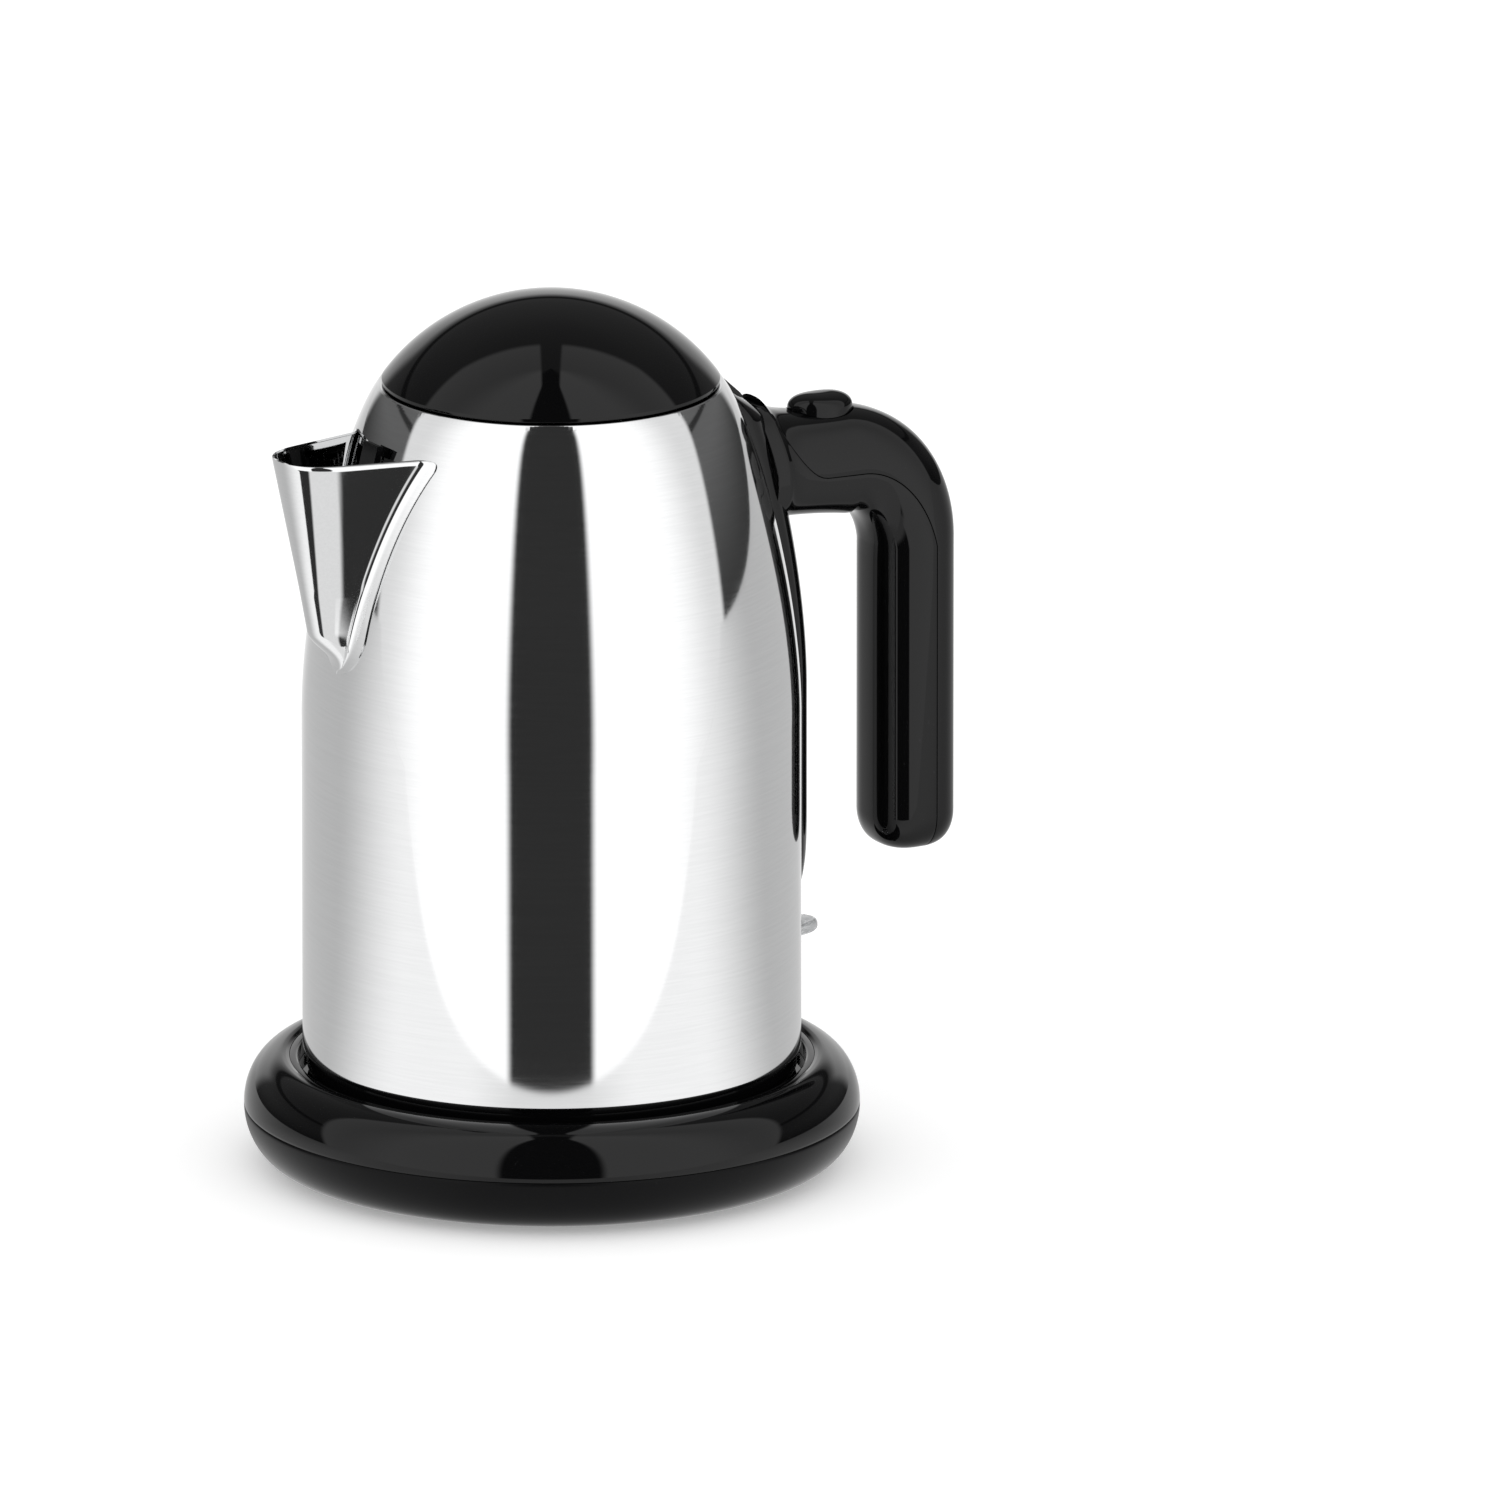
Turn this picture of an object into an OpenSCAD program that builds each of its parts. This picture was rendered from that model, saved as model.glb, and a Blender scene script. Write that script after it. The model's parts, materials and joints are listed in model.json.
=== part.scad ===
// Cordless electric kettle: polished steel body with a folded V spout, a black domed lid,
// an open-ended handle and a round power base. Millimetres.
// The axis of the body is Z, the table is z = 0, the spout points along -X, the handle along +X.

/* [Power base] */
// Height of the seam between the two base covers above the table
base_seam_h = 17.5; // [14:0.5:24]
// Height of the crest of the glossy top cover above the table
base_crest_h = 32.2; // [30:0.1:40]
// How far the base stands out past the body at the seam
base_flare = 17.2; // [12:0.2:30]
// How far the crest of the top cover lies outside the body
base_crest_out = 6; // [4:0.5:9]
// Wall thickness of both base covers
base_wall = 2.4; // [1.8:0.1:3.2]
// Height of the deck that the kettle stands on
deck_h = 27; // [25:0.5:28]
// How far the rubber foot ring stands out under the base
foot_h = 1.5; // [1:0.1:2.5]
// Radius of the connector tower in the middle of the base
tower_r = 15; // [13:0.5:18]
// Height of the connector tower above the deck
tower_h = 14; // [12:0.5:15]
// Radius of the hole for the power cord
cord_r = 3.5; // [2.5:0.25:4]

/* [Kettle body] */
// Outside diameter of the straight steel wall
body_d = 146; // [130:1:176]
// Thickness of the steel
body_wall = 0.9; // [0.8:0.1:1.5]
// Height of the black skirt that shows under the steel
skirt_h = 7.5; // [6:0.5:9]
// Height of the straight part of the steel wall
straight_h = 100; // [96:1:140]
// Height of the curved shoulder above the straight wall
shoulder_h = 99.7; // [92:1:120]
// Outside diameter of the steel at the lid
rim_d = 100.6; // [96:0.2:110]
// Diameter of the opening under the lid
mouth_d = 90; // [86:1:92]
// Height of the vessel floor above the lower edge of the steel
floor_lift = 31; // [30:0.5:36]

/* [Spout] */
// How far the lip reaches past the straight wall
lip_reach = 19.5; // [14:0.5:26]
// How far the keel stands off the straight wall at its lower end
keel_reach = 7; // [5:0.5:10]
// Height of the spout from the lower point of its V to its rim
spout_h = 66; // [56:1:76]
// Half width of the spout where its rim meets the body
spout_half_w = 20; // [16:0.5:24]
// Radius of the rounded nose at the rim
nose_r = 10; // [7:0.5:12]
// Thickness of the spout sheet
spout_wall = 1; // [0.8:0.1:1.4]

/* [Lid] */
// Rise of the dome above its rim
dome_rise = 25; // [20:0.5:30]
// Wall thickness of the dome
dome_wall = 2.2; // [1.8:0.1:3]
// Gap between the dome and the steel rim
lid_gap = 0.4; // [0.3:0.05:0.8]
// How deep the lid liner reaches into the mouth
liner_h = 5.6; // [4:0.2:7]

/* [Handle] */
// Distance from the straight wall to the middle of the grip
grip_out = 46.5; // [44:0.5:60]
// Height of the middle of the arm below the steel rim
arm_drop = 34.5; // [32:0.5:38]
// Height of the free lower end of the grip above the table
grip_end_h = 79; // [60:1:100]
// Half width of the handle across the arm and the grip
handle_half_w = 14; // [12:0.5:16]
// Half depth of the arm
arm_half_d = 15; // [14:0.5:17]
// Half depth of the grip
grip_half_d = 13.3; // [12:0.1:15]
// Wall thickness of the handle shells
handle_wall = 2.6; // [2:0.1:3]
// How far the spine stands off the steel
spine_t = 9.5; // [8:0.5:11]
// Half width of the spine
spine_half_w = 15; // [13:0.5:18]

/* [Button and switch] */
// Length of the lid button along the arm
button_l = 20; // [17:0.5:22]
// Width of the lid button
button_w = 15; // [12:0.5:16]
// Travel of the lid button
button_travel = 2; // [1.5:0.25:2.5]
// Distance from the straight wall to the middle of the button
button_out = 17.5; // [17:0.5:20]
// Width of the on and off lever
lever_w = 13; // [10:0.5:16]
// Thickness of the on and off lever
lever_t = 3; // [2.4:0.1:3.6]
// How far the lever tip stands out past the steel
lever_out = 16; // [12:0.5:20]

/* [Hidden] */
$fn = 96;
// ---- clearances ----
seat = 0.05;   // between pieces fixed to each other
play = 0.3;    // between pieces that move past each other
eps = 0.01;    // overlap of a cut with the face it starts from

// ---- body ----
body_r = body_d / 2;
bottom_z = deck_h + play;
skirt_top = bottom_z + skirt_h;
straight_top = skirt_top + straight_h;
rim_z = straight_top + shoulder_h;
rim_r = rim_d / 2;
mouth_r = mouth_d / 2;
floor_z = skirt_top + floor_lift;
floor_t = 1.2;
shoulder_steps = 22;

// ---- curve of the steel ----
function mix(a, b, t) = a + (b - a) * t;
function bez(a, b, c, d, t) =
    a * pow(1 - t, 3) + 3 * b * t * pow(1 - t, 2) + 3 * c * t * t * (1 - t) + d * pow(t, 3);

// Shoulder of the steel as [radius, height], t from 0 at its foot to 1 at the rim
shoulder_pts = [
    [body_r, straight_top],
    [body_r, straight_top + 37.2],
    [rim_r + 9.7, rim_z - 12.5],
    [rim_r, rim_z]
];
function shoulder(t) = bez(shoulder_pts[0], shoulder_pts[1], shoulder_pts[2], shoulder_pts[3], t);
// The t of a height on the shoulder, found by halving
function shoulder_t(z, lo = 0, hi = 1, n = 14) =
    n == 0 ? (lo + hi) / 2 :
    shoulder((lo + hi) / 2)[1] < z ? shoulder_t(z, (lo + hi) / 2, hi, n - 1) :
    shoulder_t(z, lo, (lo + hi) / 2, n - 1);
// Outside radius of the steel at a height
function steel_r(z) = z <= straight_top ? body_r : shoulder(shoulder_t(z))[0];

// ---- base ----
base_r = body_r + base_flare;
crest_r = body_r + base_crest_out;
lip_r = body_r + 1.4;
deck_wall = base_wall;
lip_z = base_crest_h - 0.9;
lower_round = 12.4;
boss_r = 4;
boss_pcd_r = body_r - 11;
screw_r = 1.6;
foot_ring_r = body_r - 3;
foot_ring_w = 6;
foot_seat = 1;

// ---- connector ----
socket_r = tower_r + 0.5;
socket_wall = 3.5;
socket_flange_r = tower_r + 13;
cover_t = 2.2;
socket_top = deck_h + tower_h + 1;
ring_r = 9;
ring_t = 1;
pin_r = 2.2;
contact_deep = 11;

// ---- spout ----
opening_low = 12;
opening_high = 2.5;
opening_edge = 3;
nose_steps = 6;
spout_toe = 5;
spout_levels = [0, 0.008, 0.02, 0.04, 0.07, 0.1, 0.14, 0.2, 0.28, 0.37, 0.47, 0.58, 0.69, 0.8, 0.9, 1];

// ---- lid ----
dome_rim_r = rim_r - 1;
dome_z = rim_z + lid_gap;
dome_edge = 1.2;
dome_R = (dome_rim_r * dome_rim_r + dome_rise * dome_rise) / (2 * dome_rise);
dome_steps = 20;
liner_r = mouth_r - 1.5;
liner_bottom_r = liner_r - 4.5;
liner_t = 0.8;
hinge_z = rim_z - 12;
hinge_x = steel_r(hinge_z) + 2.25;
hinge_pin_r = 1.25;
ear_r = 3;
ear_half_w = 5;
knuckle_w = 4.5;
seal_r = mouth_r - 1;
lid_boss_r = 3.5;
lid_boss_at = 25;

// ---- handle ----
arm_z = rim_z - arm_drop;
grip_x = body_r + grip_out;
bend_a = 22.5;
bend_b = 28;
bend_x = grip_x - bend_a;
bend_z = arm_z - bend_b;
arm_seam = -2.5;
grip_seam = 2.9;
seam_gap = 0.15;
roundness = 2.5;
arm_stations = [-3, -0.5, 1.5, 4, 6.5, 9, 13, 18];
cover_start = -0.6;
bend_steps = 12;
grip_steps = 3;
end_steps = 6;
end_round = 11;
ring_points = 20;

// ---- spine ----
spine_low = skirt_top + 29;
spine_high = hinge_z + 2.4;
spine_steps = 20;
spine_nose = 34;
spine_round = 2.6;
stud_r = 2;
stud_l = 5;
stud_z = [skirt_top + 50, skirt_top + 110];

// ---- button and catch lever ----
button_r = button_w / 2;
button_span = button_l - button_w;
button_x = body_r + button_out;
button_top = arm_z + arm_half_d + button_travel + 2.8;
button_flange = 0.8;
button_flange_h = 1.4;
stem_r = 2;
catch_z = arm_z + 6;
catch_x = steel_r(catch_z) + 9.9;
catch_arm = 15;
catch_w = 6;
catch_bar = 2.6;
catch_hub_r = 3;
catch_pin_r = 1;
catch_gap = 0.5;
arm_room = 8.8;
room_floor = arm_z - arm_half_d + handle_wall;
room_roof = arm_z + arm_half_d - handle_wall - 0.8;
room_end = button_x + button_span / 2 + button_r + button_flange + 0.4;
handle_head_r = screw_r + 1.2;
bend_screw = [room_end + screw_r + 1.4, arm_z - 17];
end_screw = [grip_x, grip_end_h + 5];
end_tab_h = 9;

// ---- switch ----
switch_z = skirt_top + 22;
switch_x = body_r - 12;
lever_pin_r = 1;
house_w = lever_w + 5;
house_low = switch_z - 10;
house_top = floor_z - seat;
lever_swing = 12;
lever_room = (body_r - switch_x + 1) * tan(lever_swing / 2) + lever_t / 2 + 0.5;
steam_x = body_r - 21;
steam_r = 3;
steam_disc_r = 8;

// ---------------------------------------------------------------- shapes
// Quarter ellipse from (r0 + a, z0) to (r0, z0 + b), as points
function quarter(r0, z0, a, b, n = 14) =
    [for (i = [0:n]) let (t = 90 * i / n) [r0 + a * cos(t), z0 + b * sin(t)]];
function back(list) = [for (i = [len(list) - 1:-1:0]) list[i]];

// Solid through rings of points, all with the same number of points. The ends of a ring that
// doubles back on itself, such as a C, are closed in strips from its outer to its inner side
module loft(rings, strips = false) {
    n = len(rings[0]);
    m = len(rings);
    points = [for (r = rings) for (p = r) p];
    sides = [for (j = [0:m - 2]) for (i = [0:n - 1])
        let (k = (i + 1) % n, a = j * n + i, b = j * n + k, c = (j + 1) * n + k, d = (j + 1) * n + i)
        for (f = [[a, c, b], [a, d, c]]) f];
    last = (m - 1) * n;
    caps = strips
        ? [for (i = [0:n / 2 - 2]) for (f = [[i, i + 1, n - 2 - i, n - 1 - i],
            [last + n - 1 - i, last + n - 2 - i, last + i + 1, last + i]]) f]
        : [[for (i = [0:n - 1]) i], [for (i = [n - 1:-1:0]) last + i]];
    polyhedron(points, concat(sides, caps));
}

module tube(r_out, r_in, h) {
    difference() {
        cylinder(r = r_out, h = h);
        translate([0, 0, -eps]) cylinder(r = r_in, h = h + 2 * eps);
    }
}

// Shape with round ends along X, centred
module slot_shape(span, r) {
    union() {
        translate([-span / 2, 0]) circle(r = r);
        translate([span / 2, 0]) circle(r = r);
        square([span, 2 * r], center = true);
    }
}

// Screw with its head at z = 0 and its shank going up
module screw(r, length, head_r, head_h) {
    union() {
        difference() {
            cylinder(r = head_r, h = head_h);
            translate([0, 0, -eps]) cylinder(r = head_r / 2.4, h = head_h / 2, $fn = 6);
        }
        translate([0, 0, head_h - eps]) cylinder(r = r, h = length);
    }
}

// ---------------------------------------------------------------- power base
base_angles = [45, 135, 225, 315];
cord_z = foot_h + base_wall + cord_r + 4;
gland_r = cord_r + 1.8;
// Outside radius of the lower cover at the height of the cord
lower_r0 = base_r - lower_round;
cord_wall_r = lower_r0 + lower_round * sqrt(1 - pow((base_seam_h - cord_z) / (base_seam_h - foot_h), 2));

module base_top_cover() {
    w = base_wall;
    outer = quarter(crest_r, base_seam_h, base_r - crest_r, base_crest_h - base_seam_h);
    inner = quarter(crest_r, base_seam_h, base_r - crest_r - w, base_crest_h - base_seam_h - w);
    edge = lip_r + deck_wall + seat;
    color("#101010") rotate_extrude() polygon(concat(
        outer, [[edge, lip_z + 0.4], [edge, base_crest_h - w - 0.6]], back(inner)));
}

// Deck that the kettle stands on. Its four bosses are screwed to the tray.
module base_deck() {
    w = base_wall;
    color("#101010") difference() {
        union() {
            rotate_extrude() polygon([
                [tower_r + seat, deck_h], [lip_r + deck_wall, deck_h],
                [lip_r + deck_wall, deck_h - w], [tower_r + seat, deck_h - w]]);
            for (a = base_angles) rotate(a) translate([boss_pcd_r, 0, foot_h + base_wall + seat])
                cylinder(r = boss_r, h = deck_h - w - foot_h - base_wall - seat + eps);
        }
        for (a = base_angles) rotate(a) translate([boss_pcd_r, 0, 0])
            cylinder(r = screw_r + seat, h = deck_h - w - 2);
    }
}

// Ring that stands on the deck's edge and lines the well, inside the cover
module base_well_ring() {
    low = deck_h + seat;
    color("#101010") rotate_extrude() polygon([
        [lip_r, low], [lip_r, lip_z], [lip_r + 0.6, lip_z + 0.3], [lip_r + deck_wall, lip_z + 0.3],
        [lip_r + deck_wall, low]]);
}

module base_bottom_cover() {
    w = base_wall;
    h = base_seam_h - foot_h;
    outer = [for (p = quarter(lower_r0, 0, lower_round, h)) [p[0], base_seam_h - p[1] - seat]];
    inner = [for (p = quarter(lower_r0, 0, lower_round - w, h - w)) [p[0], base_seam_h - p[1] - seat]];
    color("#1b1b1b") difference() {
        rotate_extrude() polygon(concat(
            outer, [[0, foot_h - seat], [0, foot_h + w - seat]], back(inner)));
        translate([0, 0, -eps]) difference() {
            cylinder(r = foot_ring_r + seat, h = foot_h + foot_seat);
            translate([0, 0, -eps])
                cylinder(r = foot_ring_r - foot_ring_w - seat, h = foot_h + foot_seat + 1);
        }
        for (a = base_angles) rotate(a) translate([boss_pcd_r, 0, -eps]) {
            cylinder(r = screw_r + seat, h = foot_h + w + 1);
            cylinder(r = screw_r + 1.3, h = foot_h + foot_seat);
        }
        translate([lower_r0 - 2, 0, cord_z]) rotate([0, 90, 0])
            cylinder(r = gland_r + seat, h = lower_round + 4);
    }
}

// Ring of rubber that the base stands on
module foot_ring() {
    color("#262626") difference() {
        tube(foot_ring_r, foot_ring_r - foot_ring_w, foot_h + foot_seat - seat);
        for (a = base_angles) rotate(a) translate([boss_pcd_r, 0, -eps])
            cylinder(r = screw_r + 1.6, h = foot_h + foot_seat + 1);
    }
}

module base_screws() {
    color("#9a9a9a") for (a = base_angles) rotate(a)
        translate([boss_pcd_r, 0, foot_h + foot_seat - 1.3]) screw(screw_r, 10, screw_r + 1.2, 1.2);
}

// Male half of the connector: a tower with a centre hole and a ring groove
module base_connector() {
    low = deck_h - base_wall - 4;
    color("#202020") difference() {
        union() {
            translate([0, 0, low]) cylinder(r = tower_r - 1, h = deck_h + tower_h - 1 - low);
            translate([0, 0, low]) cylinder(r = tower_r, h = deck_h + tower_h - 2 - low);
            translate([0, 0, low]) cylinder(r = tower_r + 5, h = 4 - seat);
        }
        translate([0, 0, deck_h + tower_h - 1 - contact_deep - 1]) cylinder(r = 3.4, h = contact_deep + 3);
        translate([0, 0, deck_h + tower_h - 1 - contact_deep - 1])
            tube(ring_r + ring_t + 0.9, ring_r - ring_t - 0.9, contact_deep + 3);
    }
}

// Brass sleeves in the tower
module base_contacts() {
    low = deck_h + tower_h - 2 - contact_deep;
    color("#c9a24b") {
        translate([0, 0, low]) tube(3.4 - seat, pin_r + 0.4, contact_deep - 1);
        translate([0, 0, low]) tube(ring_r + ring_t + 0.9 - seat, ring_r + ring_t + 0.35, contact_deep - 1);
    }
}

// Block under the tower where the cord ends
module terminal_block() {
    low = foot_h + base_wall;
    color("#d8d4c8") difference() {
        translate([-9, -12, low]) cube([34, 24, deck_h - base_wall - 4 - low - seat]);
        for (y = [-7, 0, 7]) translate([12, y, cord_z]) rotate([0, 90, 0]) cylinder(r = 1.6, h = 20);
    }
}

// Bush that the power cord passes through
module cord_gland() {
    color("#161616") translate([cord_wall_r, 0, cord_z]) rotate([0, 90, 0]) difference() {
        union() {
            translate([0, 0, -8]) cylinder(r = gland_r, h = 9.5);
            translate([0, 0, 1.1]) cylinder(r = gland_r + 1.4, h = 1.2);
        }
        translate([0, 0, -9]) cylinder(r = cord_r, h = 12);
    }
}

// ---------------------------------------------------------------- kettle half of the connector
module kettle_connector() {
    color("#2a2a2a") difference() {
        union() {
            translate([0, 0, bottom_z]) cylinder(r = socket_flange_r, h = cover_t);
            translate([0, 0, bottom_z]) cylinder(r = socket_r + socket_wall, h = socket_top + 4 - bottom_z);
            translate([0, 0, socket_top + 3]) cylinder(r = 6, h = 4);
        }
        translate([0, 0, bottom_z - 1]) cylinder(r = socket_r, h = socket_top - bottom_z + 1);
    }
}

module kettle_contacts() {
    color("#c9a24b") {
        translate([0, 0, socket_top - contact_deep - 1]) cylinder(r = pin_r, h = contact_deep + 1);
        translate([0, 0, socket_top - contact_deep - 1])
            tube(ring_r + ring_t / 2, ring_r - ring_t / 2, contact_deep + 1);
    }
}

// ---------------------------------------------------------------- vessel
module steel_profile() {
    outer = concat(
        [[body_r - 0.4, skirt_top], [body_r, skirt_top + 0.8]],
        [for (i = [0:shoulder_steps]) shoulder(i / shoulder_steps)]);
    inner = concat(
        [for (i = [0:shoulder_steps]) let (p = shoulder(i / shoulder_steps))
            [p[0] - body_wall, min(p[1], rim_z - body_wall)]]);
    polygon(concat(outer, [[mouth_r, rim_z], [mouth_r, rim_z - body_wall]], back(inner),
        [[body_r - body_wall, skirt_top]]));
}

// V opening behind the spout, as points in the plane across it: [half width, height]
rim_sp_z = straight_top + shoulder_h - 12;
v_low = rim_sp_z - spout_h;
function v_half(z) = max(1.4, spout_half_w * pow(max(0, z - v_low) / spout_h, 0.62));

module spout_opening() {
    low = v_low + opening_low;
    high = rim_sp_z - opening_high;
    rotate([90, 0, -90]) linear_extrude(height = body_r + 40) polygon([
        [-v_half(low) + opening_edge, low], [v_half(low) - opening_edge, low],
        [v_half(high) - opening_edge, high], [-v_half(high) + opening_edge, high]]);
}

module body_shell() {
    color("#d9dbdd") difference() {
        rotate_extrude() steel_profile();
        spout_opening();
        // slot for the on and off lever
        translate([body_r - 6, -lever_w / 2 - play, switch_z - lever_room])
            cube([12, lever_w + 2 * play, 2 * lever_room]);
        // notch for the hinge arm of the lid
        translate([mouth_r - 1, -ear_half_w - play, hinge_z - ear_r - play])
            cube([20, 2 * (ear_half_w + play), rim_z - hinge_z + ear_r + 1]);
    }
}

// ---------------------------------------------------------------- spout
// Reach of the keel from the axis, and radius of the nose, at a height
// The keel is nearly straight; over its lowest few millimetres it turns in to the steel
function toe_share(z) = let (q = min(1, (z - v_low + 0.3) / spout_toe)) sqrt(1 - pow(1 - q, 2));
function keel_x(z) =
    mix(steel_r(z) + 0.6, body_r + mix(keel_reach, lip_reach, (z - v_low) / spout_h), toe_share(z));
function nose_at(z) = max(0.9, min(nose_r * pow(max(0, z - v_low) / spout_h, 0.8), v_half(z) * 0.7));
// Distance from the axis plane to the steel, off to the side by y
function steel_x(z, y) = sqrt(pow(steel_r(z) + seat, 2) - y * y);
// From root to root round the nose, at a height: half width w, nose radius n, reach k. It stands
// off the steel by at least the distance off
function spout_line(z, w, n, k, off) = concat(
    [[-steel_x(z, w), w, z]],
    [for (i = [-nose_steps:nose_steps]) let (t = 90 * i / nose_steps)
        [-max(steel_x(z, n * sin(t)) + off, k - n + n * cos(t)), -n * sin(t), z]],
    [[-steel_x(z, w), -w, z]]);
// The wall at a height. It is solid at the lower point of the V and opens above it
function spout_ring(z) =
    let (w = v_half(z), n = nose_at(z), k = keel_x(z), deep = min(1, (z - v_low) / spout_h / 0.2),
        inner_w = w * 0.86 - spout_wall * 0.6, inner_n = max(0.3, n - spout_wall),
        inner_k = mix(steel_r(z), k - spout_wall, deep))
    concat(spout_line(z, w, n, k, 0.5), back(spout_line(z, max(0.6, inner_w), inner_n, inner_k, seat)));

module spout() {
    color("#d9dbdd") loft([for (t = spout_levels) spout_ring(v_low + spout_h * t)], true);
}

// ---------------------------------------------------------------- inside the vessel
module ear_notch(extra) {
    translate([mouth_r - 2, -ear_half_w - extra, hinge_z - ear_r - extra])
        cube([30, 2 * (ear_half_w + extra), rim_z - hinge_z + ear_r + 20]);
}

// Plastic ring that lines the mouth, under the steel lip
module mouth_ring() {
    color("#1a1a1a") difference() {
        translate([0, 0, rim_z - body_wall - 8]) tube(mouth_r + 2, mouth_r, 8 - seat);
        ear_notch(play);
    }
}

module floor_plate() {
    color("#c4c6c8") difference() {
        translate([0, 0, floor_z]) cylinder(r = body_r - body_wall - seat, h = floor_t);
        translate([steam_x, 0, floor_z - 1]) cylinder(r = steam_r + seat, h = floor_t + 2);
    }
}

spreader_r = body_r - 31;
spreader_t = 3;
element_r = spreader_r - 8;
tube_r = 3.3;
element_z = floor_z - spreader_t - 2 * seat - tube_r;
element_angle = 290;

// Aluminium plate that spreads the heat under the floor
module heat_spreader() {
    color("#b9bcc0") translate([0, 0, floor_z - seat - spreader_t]) cylinder(r = spreader_r, h = spreader_t);
}

module heating_element() {
    gap = (360 - element_angle) / 2;
    color("#8d8f92") union() {
        translate([0, 0, element_z]) rotate(gap) rotate_extrude(angle = element_angle)
            translate([element_r, 0]) circle(r = tube_r);
        for (a = [gap + 4, -gap - 4]) rotate(a) translate([element_r, 0, element_z - 12])
            cylinder(r = 1.2, h = 12);
    }
}

block_low = socket_top + 4 + play;
block_top = socket_top + 13;
post_r = 2.5;
post_x = 16;
post_y = 12;

// Thermostat block above the connector
module control_housing() {
    color("#e4ddcc") difference() {
        translate([-22, -20, block_low]) cube([46, 40, block_top - block_low]);
        translate([0, 0, block_low - 1]) cylinder(r = 6 + play, h = 5);
    }
}

module control_posts() {
    h = floor_z - spreader_t - block_top - 3 * seat;
    color("#b0b2b5") for (x = [-post_x, post_x]) for (y = [-post_y, post_y])
        translate([x, y, block_top + seat]) cylinder(r = post_r, h = h);
}

// Snap disc that opens the circuit when the kettle boils dry
module dry_boil_disc() {
    color("#b98a4a") translate([0, 0, floor_z - spreader_t - 2 * seat - 0.8]) cylinder(r = 9, h = 0.8);
}

cover_post_at = body_r - 17;
cover_post_r = 4;
cover_angles = [60, 180, 300];

module bottom_cover() {
    hole = socket_flange_r + play;
    skirt_r = body_r - 1.2;
    inside_r = body_r - body_wall - seat;
    color("#141414") difference() {
        rotate_extrude() polygon([
            [hole, bottom_z], [skirt_r - 2, bottom_z], [skirt_r - 0.6, bottom_z + 0.6],
            [skirt_r, bottom_z + 2], [skirt_r, skirt_top - seat], [inside_r, skirt_top - seat],
            [inside_r, skirt_top + 5], [inside_r - 2, skirt_top + 5], [inside_r - 2, bottom_z + cover_t],
            [hole, bottom_z + cover_t]]);
        for (a = cover_angles) rotate(a) translate([cover_post_at, 0, bottom_z - 1]) {
            cylinder(r = screw_r + seat, h = cover_t + 2);
            cylinder(r = screw_r + 1.4, h = 2.5);
        }
    }
}

// Posts between the bottom cover and the floor, which take the screws of the cover
module cover_posts() {
    low = bottom_z + cover_t + seat;
    color("#3a3a3a") for (a = cover_angles) rotate(a) translate([cover_post_at, 0, low]) difference() {
        cylinder(r = cover_post_r, h = floor_z - seat - low);
        translate([0, 0, -eps]) cylinder(r = screw_r + seat, h = 14);
    }
}

module bottom_screws() {
    color("#9a9a9a") for (a = cover_angles) rotate(a)
        translate([cover_post_at, 0, bottom_z + 0.2]) screw(screw_r, 13, screw_r + 1.2, 1.2);
}

// Tube that leads steam from above the water down to the switch
module steam_tube() {
    color("#cfd1d3") translate([steam_x, 0, floor_z - 2])
        tube(steam_r, steam_r - 0.6, rim_z - 17 - floor_z + 2);
}

module steam_disc() {
    color("#b98a4a") translate([steam_x, 0, house_top - 4.5 + seat])
        cylinder(r = steam_disc_r - play, h = 0.8);
}

// Housing of the on and off lever, behind the steel
module switch_housing() {
    color("#1d1d1d") difference() {
        intersection() {
            translate([steam_x - steam_disc_r - 1, -house_w / 2 - 1, house_low])
                cube([40, house_w + 2, house_top - house_low]);
            cylinder(r = body_r - body_wall - seat, h = rim_z);
        }
        // steam chamber and the hole that the tube ends in
        translate([steam_x, 0, house_top - 4.5]) cylinder(r = steam_disc_r, h = 2.4);
        translate([steam_x, 0, house_top - 2.2]) cylinder(r = steam_r + seat, h = 4);
        // room for the lever
        translate([switch_x - 4, -lever_w / 2 - play, switch_z - lever_room - 0.5])
            cube([30, lever_w + 2 * play, 2 * lever_room + 1]);
        translate([switch_x, 0, switch_z]) rotate([90, 0, 0])
            cylinder(r = lever_pin_r + seat / 2, h = house_w - 2, center = true);
        // room for the lamp
        translate([switch_x - 8, 0, switch_z - 2]) rotate([90, 0, 0])
            cylinder(r = lamp_r + seat, h = lamp_l + 2 * seat, center = true);
        translate([switch_x - 8, -lamp_l / 2, switch_z - 2 - lamp_r + 0.6])
            cube([6, lamp_l, lamp_r + 0.5]);
    }
}
lamp_r = 2;
lamp_l = 10;

module lever_pin() {
    color("#9a9a9a") translate([switch_x, 0, switch_z]) rotate([90, 0, 0])
        cylinder(r = lever_pin_r, h = house_w - 2 - 2 * seat, center = true);
}

module pilot_lamp() {
    color("#ff9a3c") translate([switch_x - 8, 0, switch_z - 2]) rotate([90, 0, 0])
        cylinder(r = lamp_r, h = lamp_l, center = true);
}

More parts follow.
